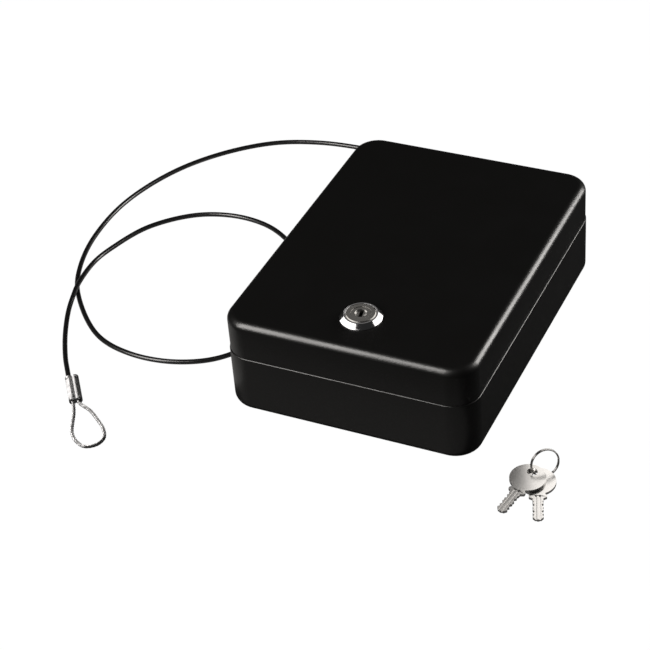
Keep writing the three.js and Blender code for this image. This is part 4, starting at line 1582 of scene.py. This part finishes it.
@dataclass
class RearHinges:
    """The two hinges at the rear seam, drawn about their own axis, which runs along X. Millimetres.

    Args:
        base_face: how far behind the axis the base leaf's outer face stands.
        lid_face: the same for the lid's leaf.
        welds: where along the leaf its spot welds are.
        weld_share: how far up the leaf they are, for its height.
    """

    offset: float = 47.0
    axis_y: float = 118.95
    axis_z: float = 43.75
    span: float = 38.0
    knuckles: int = 5
    gap: float = 0.3
    radius: float = 3.0
    sheet: float = 1.5
    leaf_height: float = 14.0
    leaf_corner: float = 3.5
    base_face: float = -2.3
    lid_face: float = -2.8
    weld_radius: float = 1.7
    weld_depth: float = 0.3
    welds: tuple[float, ...] = (-13.5, -4.5, 4.5, 13.5)
    weld_share: float = 0.62
    leaf_edge: float = 0.22
    pin_radius: float = 1.5
    pin_clearance: float = 0.1
    head_radius: float = 2.3
    head_length: float = 1.2
    head_edge: float = 0.25

    def bar(self, radius: float, low: float, high: float) -> Workpiece:
        """A round bar along the hinge's axis.

        Args:
            radius: its radius.
            low: where it starts.
            high: where it ends.

        Returns:
            The workpiece.
        """
        bar = Workpiece.rod("bar", radius, low, high, SLIM)
        bar.move(turn("Y", 90))
        return bar

    def make_leaf(self, name: str, rise: int, face: float) -> Workpiece:
        """Rolls one leaf with its knuckles, and marks its spot welds.

        Args:
            name: the leaf's name.
            rise: 1 for the lid's leaf, which stands up, and -1 for the base's.
            face: how far behind the axis its outer face stands.

        Returns:
            The workpiece.
        """
        inner = face - self.sheet
        near, far = rise * (self.radius - self.sheet), rise * self.leaf_height
        low, high = sorted((near, far))
        work = Workpiece.box(name, (-self.span / 2, inner, low), (self.span / 2, face, high))
        work.edit()
        work.round_edges(self.leaf_corner, 8, running("y", z=far))
        work.leave()
        pitch = self.span / self.knuckles
        strap_low, strap_high = sorted((near, rise * self.radius))
        for i in range(self.knuckles):
            start = pitch * i - self.span / 2
            if i % 2 != (rise + 1) // 2:
                work.cut(self.bar(self.radius + self.gap, start - self.gap / 2, start + pitch + self.gap / 2))
                continue
            start, end = start + self.gap / 2, start + pitch - self.gap / 2
            work.join(Workpiece.box("strap", (start, inner, strap_low), (end, 0, strap_high)))
            work.join(self.bar(self.radius, start, end))
        work.cut(self.bar(self.pin_radius + self.pin_clearance, -self.span, self.span))
        for x in self.welds:
            weld = Workpiece.rod("weld", self.weld_radius, -1, self.weld_depth, SMALL)
            weld.move(at(x, inner, self.weld_share * far) @ turn("X", -90))
            work.cut(weld)
        work.polish(self.leaf_edge)
        return work

    def make_pin(self) -> Workpiece:
        """Turns one pin with a riveted head at each end.

        Returns:
            The workpiece.
        """
        end = self.span / 2 + self.gap
        crown, tip = end + self.head_length / 2, end + self.head_length
        half = [(self.pin_radius, end), (self.head_radius, end), (self.head_radius, crown)]
        half += [(self.pin_radius, tip), (0, tip)]
        work = Workpiece.turned("rivet_pin_left", [*((r, -x) for r, x in reversed(half)), *half], SLIM)
        work.polish(self.head_edge, angle=TURNED)
        work.move(turn("Y", 90))
        return work

    def set_both(self, work: Workpiece, finish: Finish, body: str, node: str) -> None:
        """Sets a piece in the left hinge and a copy of it in the right one.

        Args:
            work: the workpiece, named for the left hinge.
            finish: the surface that both get.
            body: the body that they ride on.
            node: the plain solid that they stand for, without its side.
        """
        twin = work.copy(work.piece.name.replace("left", "right"))
        for side, piece in ((Side.LEFT, work), (Side.RIGHT, twin)):
            piece.move(at(side.value * self.offset, self.axis_y, self.axis_z))
            piece.settle(finish, body, f"{node}_{side.name.lower()}")

    def build(self) -> None:
        """Makes the leaves and the pins of both hinges."""
        base_leaf = self.make_leaf("base_hinge_left", -1, self.base_face)
        self.set_both(base_leaf, POWDER_COAT, "base", "hinge_base_leaf")
        lid_leaf = self.make_leaf("lid_hinge_left", 1, self.lid_face)
        self.set_both(lid_leaf, POWDER_COAT, "lid", "hinge_lid_leaf")
        self.set_both(self.make_pin(), ZINC_STEEL, "base", "hinge_pin")


@dataclass
class FrontStrike:
    """The folded strike inside the base's front wall, which holds the locked cam down. Millimetres.

    Args:
        wall: where the front wall's inner face lies.
        foot_bottom: the height of the strike's lower end.
        bend_start: the height at which it starts to step back from the wall.
        bend_end: the height at which that step ends.
        set_back: how far it steps back.
        tab_top: the height of the tab that the cam turns under.
        tab_reach: how far the tab reaches back.
    """

    width: float = 34.0
    wall: float = -116.65
    sheet: float = 2.0
    foot_bottom: float = 18.0
    bend_start: float = 38.0
    bend_end: float = 42.4
    set_back: float = 2.1
    tab_top: float = 56.2
    tab_reach: float = 14.5
    corner: float = 3.0
    outer_bend: float = 2.4
    inner_bend: float = 0.8
    step_bend: float = 1.2
    edge: float = 0.3
    weld_radius: float = 2.2
    weld_depth: float = 0.3
    weld_offset: float = 10.0
    weld_height: float = 25.0

    def build(self) -> None:
        """Folds the strike from one strip, from its foot up to its tab."""
        half, lip, inner = self.width / 2, self.wall + self.set_back, self.wall + self.sheet
        work = Workpiece.box(
            "strike_strip", (-half, self.wall, self.foot_bottom), (half, inner, self.bend_start)
        )
        work.edit()
        work.choose(Pick.FACES, facing("z", 1))
        tab_bottom = self.tab_top - self.sheet
        steps = (
            (self.set_back, self.bend_end - self.bend_start),
            (0, tab_bottom - self.bend_end),
            (0, self.sheet),
        )
        for back, up in steps:
            bpy.ops.mesh.extrude_region_move(TRANSFORM_OT_translate={"value": (0, back, up)})
        work.choose(Pick.FACES, lambda place, way: way.y > ALONG and place.z > tab_bottom)
        reach = self.tab_reach - self.sheet
        bpy.ops.mesh.extrude_region_move(TRANSFORM_OT_translate={"value": (0, reach, 0)})
        work.round_edges(self.corner, 8, running("z", y=lip + self.tab_reach))
        work.round_edges(self.corner, 8, running("y", z=self.foot_bottom))
        work.round_edges(self.outer_bend, 6, running("x", y=lip, z=self.tab_top))
        work.round_edges(self.inner_bend, 6, running("x", y=lip + self.sheet, z=tab_bottom))
        start, end = running("x", z=self.bend_start), running("x", z=self.bend_end)
        work.round_edges(self.step_bend, 4, lambda place, way: start(place, way) or end(place, way))
        work.leave()
        for side in Side:
            weld = Workpiece.rod("weld", self.weld_radius, -self.weld_depth, 1, SMALL)
            weld.move(at(side.value * self.weld_offset, inner, self.weld_height) @ turn("X", -90))
            work.cut(weld)
        work.polish(self.edge)
        work.settle(ZINC_STEEL, "base", "strike_bracket")


# Lock


@dataclass
class CamLock:
    """The key lock in the lid, from its trim ring down to its cam. Millimetres.

    Args:
        shoulder: how high over the lid the lock's head sits in its collar.
        dish: the radius and the depth of each step of the plug's dished mouth.
        keyway: the keyway's width, its length and its depth.
        ceiling: the height of the lid's inner face.
        washer: the clamp washer's radius and thickness.
        nut: half of the nut's width over its flats, and its thickness.
        nut_chamfer: how high its chamfer is, for how far its corners stand past its flats.
        nut_inset: how far inside its flats the chamfer starts on its end faces.
        nut_overcut: how far past its corners the chamfer is drawn.
        screw_washer: the cam washer's radius and thickness.
        screw_head: the radius of each step of the screw's head, and how far it lies under the washer.
        screw_shank: the shank's radius, and the height of its tip.
        socket: half of the width and of the length of the screw's cross, and its depth.
    """

    lid_top: float = 71.1
    lock_y: float = -84.55
    collar_radius: float = 14.0
    collar_top_radius: float = 11.2
    collar_height: float = 3.4
    collar_edge: float = 0.5
    collar_rounding: float = 0.18
    shoulder: float = 1.2
    head_radius: float = 9.9
    head_thickness: float = 2.6
    head_chamfer: float = 0.6
    head_rounding: float = 0.12
    barrel_radius: float = 9.3
    barrel_half_flat: float = 8.0
    barrel_length: float = 17.0
    clearance: float = 0.3
    turning_clearance: float = 0.12
    plug_radius: float = 5.6
    plug_head_radius: float = 6.4
    plug_head_thickness: float = 1.6
    plug_sink: float = 0.3
    dish: tuple[Pair, ...] = ((4.1, 0), (3.6, 0.35), (3.0, 0.67), (2.2, 0.9), (0, 0.9))
    keyway: Triple = (2.35, 7.05, 12.5)
    keyway_turn: float = 9.0
    tail_half: float = 3.4
    tail_bottom: float = 51.8
    thread_radius: float = 2.05
    thread_depth: float = 5.5
    ceiling: float = 69.9
    washer: Pair = (13.0, 0.8)
    nut: Pair = (12.0, 3.5)
    nut_chamfer: float = 0.6
    nut_inset: float = 0.3
    nut_overcut: float = 0.1
    washer_rounding: float = 0.2
    nut_rounding: float = 0.15
    cam_rounding: float = 0.25
    screw_rounding: float = 0.1
    cam_top: float = 53.8
    cam_hub: float = 9.0
    cam_reach: float = 24.0
    cam_half: float = 7.5
    cam_corner: float = 3.0
    cam_hole_half: float = 3.55
    screw_washer: Pair = (6.0, 1.0)
    screw_head: tuple[Pair, ...] = ((2.9, 2.6), (3.7, 2.3), (4.2, 1.8), (4.45, 1.2), (4.5, 0.7), (4.5, 0))
    screw_shank: Pair = (1.9, 57.15)
    socket: Triple = (0.55, 2.6, 1.4)

    @property
    def head_bottom(self) -> float:
        """The height of the lock head's underside."""
        return self.lid_top + self.shoulder

    @property
    def head_top(self) -> float:
        """The height of the lock head's face."""
        return self.head_bottom + self.head_thickness

    def seat(
        self, work: Workpiece, rounding: float, finish: Finish, body: str, node: str, segments: int = 3
    ) -> None:
        """Rounds a piece's edges and sets it on the lock's axis.

        Args:
            work: the workpiece.
            rounding: the radius of its edges.
            finish: the surface that it gets.
            body: the body that it rides on.
            node: the plain solid that it stands for.
            segments: how many steps its edges are rounded in.
        """
        work.polish(rounding, segments, TURNED)
        work.move(at(0, self.lock_y, 0))
        work.settle(finish, body, node)

    def make_collar(self) -> None:
        """Turns the bright trim ring."""
        top = self.lid_top + self.collar_height
        head = self.head_radius + self.clearance
        barrel = self.barrel_radius + self.clearance
        profile = [
            (barrel, self.lid_top),
            (self.collar_radius, self.lid_top),
            (self.collar_radius, self.lid_top + self.collar_edge),
            (self.collar_top_radius, top),
            (head, top),
            (head, self.head_bottom),
            (barrel, self.head_bottom),
        ]
        work = Workpiece.turned("lock_trim_ring", profile, FINEST)
        self.seat(work, self.collar_rounding, CHROME, "lid", "lock_collar", 4)

    def make_body(self) -> None:
        """Turns the lock's head and barrel, flatted on two sides and bored for the plug."""
        bottom = self.lid_top - self.barrel_length
        radius, top, beyond = self.head_radius, self.head_top, self.head_top + 1
        profile = [
            (0, self.head_bottom),
            (radius, self.head_bottom),
            (radius, top - self.head_chamfer),
            (radius - self.head_chamfer, top),
            (0, top),
        ]
        work = Workpiece.turned("lock_housing", profile, FINEST)
        barrel = Workpiece.rod("barrel", self.barrel_radius, bottom, self.head_bottom + 1, FINE)
        flat, reach = self.barrel_half_flat, 2 * self.barrel_radius
        barrel.keep_within(Workpiece.box("flats", (-flat, -reach, bottom - 1), (flat, reach, top)))
        work.join(barrel)
        seat = top - self.plug_sink - self.plug_head_thickness - self.turning_clearance
        bore = self.plug_radius + self.turning_clearance
        mouth = self.plug_head_radius + self.turning_clearance
        under = bottom - 1
        profile = [(0, under), (bore, under), (bore, seat), (mouth, seat), (mouth, beyond), (0, beyond)]
        work.cut(Workpiece.turned("bore", profile))
        work.polish(self.head_rounding)
        work.move(at(0, self.lock_y, 0))
        work.settle(DARK_ZINC, "lid", "lock_body")

    def make_plug(self) -> None:
        """Turns the plug with its dished mouth, and cuts its keyway, square tail and thread."""
        bottom = self.lid_top - self.barrel_length
        top = self.head_top - self.plug_sink
        under = top - self.plug_head_thickness
        profile = [
            (0, bottom),
            (self.plug_radius, bottom),
            (self.plug_radius, under),
            (self.plug_head_radius, under),
            (self.plug_head_radius, top),
            *((radius, top - depth) for radius, depth in self.dish),
        ]
        work = Workpiece.turned("key_plug", profile)
        half, tail = self.tail_half, self.tail_bottom
        work.join(Workpiece.box("tail", (-half, -half, tail), (half, half, bottom + 1)))
        width, span, depth = self.keyway
        slot = Workpiece.box("slot", (-width / 2, -span / 2, top - depth), (width / 2, span / 2, top + 1))
        slot.move(turn("Z", self.keyway_turn))
        work.cut(slot)
        work.cut(Workpiece.rod("thread", self.thread_radius, tail - 1, tail + self.thread_depth, SMALL))
        self.seat(work, self.head_rounding, DARK_ZINC, "lock_plug", "lock_plug")

    def make_clamp(self) -> None:
        """Makes the washer and the six-sided nut that clamp the lock under the lid."""
        bore = self.barrel_radius + self.clearance
        radius, thickness = self.washer
        low = self.ceiling - thickness
        ring = [(bore, low), (radius, low), (radius, self.ceiling), (bore, self.ceiling)]
        washer = Workpiece.turned("clamp_washer", ring)
        self.seat(washer, self.washer_rounding, ZINC_STEEL, "lid", "lock_washer")
        flat, thickness = self.nut
        top, bottom = low, low - thickness
        corner = 2 * flat / math.sqrt(3)
        work = Workpiece.rod("clamp_nut", corner, bottom, top, 6)
        work.move(turn("Z", 30))
        chamfer = (corner - flat) * self.nut_chamfer
        face, beyond = flat - self.nut_inset, corner + self.nut_overcut
        blank = [(0, bottom), (face, bottom), (beyond, bottom + chamfer)]
        blank += [(beyond, top - chamfer), (face, top), (0, top)]
        work.keep_within(Workpiece.turned("blank", blank))
        work.cut(Workpiece.rod("bore", bore, bottom - 1, top + 1, FINE))
        self.seat(work, self.nut_rounding, ZINC_STEEL, "lid", "lock_nut")

    def make_cam(self) -> None:
        """Punches the cam that turns under the strike."""
        bottom, half, hole = self.tail_bottom, self.cam_half, self.cam_hole_half
        work = Workpiece.box("latch_cam", (0, -half, bottom), (self.cam_reach, half, self.cam_top))
        work.edit()
        work.round_edges(self.cam_corner, 8, running("z", x=self.cam_reach))
        work.leave()
        work.join(Workpiece.rod("hub", self.cam_hub, bottom, self.cam_top))
        work.cut(Workpiece.box("hole", (-hole, -hole, bottom - 1), (hole, hole, self.cam_top + 1)))
        self.seat(work, self.cam_rounding, ZINC_STEEL, "lock_plug", "lock_cam")

    def make_screw(self) -> None:
        """Makes the screw that holds the cam, and its washer."""
        radius, thickness = self.screw_washer
        low, high = self.tail_bottom - thickness, self.tail_bottom
        bore = self.thread_radius
        ring = [(bore, low), (radius, low), (radius, high), (bore, high)]
        work = Workpiece.turned("cam_spacer", ring, PLAIN)
        self.seat(work, self.nut_rounding, ZINC_STEEL, "lock_plug", "cam_washer")
        shank, tip = self.screw_shank
        head = [(r, low - down) for r, down in self.screw_head]
        profile = [(0, head[0][1]), *head, (shank, low), (shank, tip), (0, tip)]
        work = Workpiece.turned("tail_screw", profile, PLAIN)
        width, span, depth = self.socket
        floor = head[0][1] + depth
        for x, y in ((width, span), (span, width)):
            work.cut(Workpiece.box("socket", (-x, -y, floor - 2 * depth), (x, y, floor)))
        self.seat(work, self.screw_rounding, ZINC_STEEL, "lock_plug", "cam_screw")

    def build(self) -> None:
        """Makes the lock."""
        self.make_collar()
        self.make_body()
        self.make_plug()
        self.make_clamp()
        self.make_cam()
        self.make_screw()


# Keys


@dataclass
class KeySet:
    """Two flat keys on a split ring. Millimetres and degrees.

    Args:
        bow_centre: how far from the hole's centre the bow's own centre lies.
        neck: where the neck ends and half of its width.
        collar: where the collar starts and ends, and half of its width.
        cut_depths: the depth of each cut of the blade.
        slope: how steeply the keys lie.
        upper_hole: the centre of the upper key's hole.
        lower_hole: the centre of the lower key's hole.
        ring_spacing: how far apart the ring's two turns of wire lie.
        ring_step: where the wire starts to pass from one turn to the other, and how long it takes,
            in turns.
        ring_steps: how many short stretches one turn has.
    """

    thickness: float = 2.0
    bow_radius: float = 11.5
    bow_centre: float = 5.4
    hole_radius: float = 3.3
    neck: Pair = (16.9, 4.6)
    collar: Triple = (17.7, 19.3, 5.6)
    blade_start: float = 20.5
    blade_half: float = 3.35
    tip: float = 38.3
    tip_length: float = 2.0
    tip_half: float = 1.6
    cut_pitch: float = 2.8
    cut_flat: float = 0.7
    cut_depths: tuple[float, ...] = (0.6, 1.05, 0.45, 1.05, 0.7)
    groove_offset: float = 1.25
    groove_width: float = 0.9
    groove_depth: float = 0.45
    edge: float = 0.16
    edge_angle: float = 25.0
    crisp_angle: float = 35.0
    slope: float = 3.3
    upper_heading: float = -100.6
    upper_hole: Triple = (126.2, -117.5, 5.5354)
    lower_heading: float = -69.9
    lower_hole: Triple = (129.3, -116.4, 3.28)
    ring_radius: float = 9.2
    ring_wire: float = 0.5
    ring_spacing: float = 0.98
    ring_step: Pair = (0.93, 0.14)
    ring_steps: int = 120
    ring_roundness: int = 3
    ring_centre: Triple = (132.1, -110.7, 9.823)
    ring_lean: float = 12.9
    ring_heading: float = 44.1

    def blank(self) -> Workpiece:
        """Cuts one key, its hole on the Z axis and its blade along +X.

        Returns:
            The workpiece.
        """
        half = self.thickness / 2
        work = Workpiece.rod("upper_key", self.bow_radius, -half, half, FINEST)
        work.move(at(self.bow_centre, 0, 0))
        neck_end, neck_half = self.neck
        blade = Workpiece.box("blade", (self.bow_centre, -neck_half, -half), (neck_end, neck_half, half))
        collar_start, collar_end, collar_half = self.collar
        edge, flat = self.blade_half, self.cut_flat / 2
        outline = [(collar_start, collar_half), (collar_end, collar_half), (self.blade_start, edge)]
        for i, depth in enumerate(self.cut_depths):
            near = self.blade_start + self.cut_pitch * (i + 1) - flat
            far = self.blade_start + self.cut_pitch * (i + 1) + flat
            outline += [(near - depth, edge), (near, edge - depth), (far, edge - depth), (far + depth, edge)]
        outline += [(self.tip - self.tip_length, edge), (self.tip, self.tip_half)]
        blade.edit()
        blade.choose(Pick.FACES, facing("x", 1))
        place, width = neck_end, neck_half
        for next_place, next_width in outline:
            bpy.ops.mesh.extrude_region_move(TRANSFORM_OT_translate={"value": (next_place - place, 0, 0)})
            bpy.ops.transform.resize(value=(1, next_width / width, 1))
            place, width = next_place, next_width
        blade.leave()
        work.join(blade)
        work.cut(Workpiece.rod("hole", self.hole_radius, -half - 1, half + 1))
        for face in (-1, 1):
            for side in (-1, 1):
                centre = side * self.groove_offset
                floor, beyond = face * (half - self.groove_depth), face * (half + 1)
                low = (collar_start, centre - self.groove_width / 2, min(floor, beyond))
                high = (self.tip + 1, centre + self.groove_width / 2, max(floor, beyond))
                work.cut(Workpiece.box("groove", low, high))
        work.soften(self.edge, 2, self.edge_angle)
        work.smooth(self.crisp_angle)
        return work

    def place_key(self, key: Workpiece, heading: float, hole: Triple, body: str) -> None:
        """Lays a key in the pile.

        Args:
            key: the workpiece.
            heading: the direction that its blade points in.
            hole: where its hole's centre lies.
            body: the body and the node that it stands for.
        """
        slope = math.radians(self.slope)
        fall = pointing((self.upper_heading + self.lower_heading) / 2)
        normal = fall * math.sin(slope) + UP * math.cos(slope)
        across = normal.cross(pointing(heading)).normalized()
        key.move(at(*hole) @ axes(across.cross(normal), across, normal))
        key.settle(NICKEL, body, body)

    def make_ring(self) -> None:
        """Winds the split ring: two turns of wire, with a step where one passes the other."""
        start, length = self.ring_step
        line = []
        for i in range(2 * self.ring_steps + 1):
            turns = i / self.ring_steps
            step = min(max((turns - start) / length, 0), 1)
            rise = (step * step * (3 - 2 * step) - 0.5) * self.ring_spacing
            angle = 2 * math.pi * turns
            line.append(self.ring_radius * Vector((math.cos(angle), 0, math.sin(angle))) + rise * BACK)
        work = wires("split_ring", [line], self.ring_wire, self.ring_roundness)
        work.smooth(GENTLE)
        work.move(at(*self.ring_centre) @ turn("Z", self.ring_heading) @ turn("X", -self.ring_lean))
        work.settle(RING_WIRE, "key_ring", "key_ring")

    def build(self) -> None:
        """Makes the ring and both keys."""
        self.make_ring()
        upper = self.blank()
        lower = upper.copy("lower_key")
        self.place_key(upper, self.upper_heading, self.upper_hole, "key_1")
        self.place_key(lower, self.lower_heading, self.lower_hole, "key_2")


def main() -> None:
    """Builds the safe's looks, in order."""
    logging.basicConfig(level=logging.INFO, format="%(message)s")
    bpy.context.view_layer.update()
    studio = Studio()
    studio.set_camera()
    Tether().build()
    PressedCase().build()
    RearHinges().build()
    FrontStrike().build()
    CamLock().build()
    KeySet().build()
    studio.build()


if __name__ == "__main__":
    main()
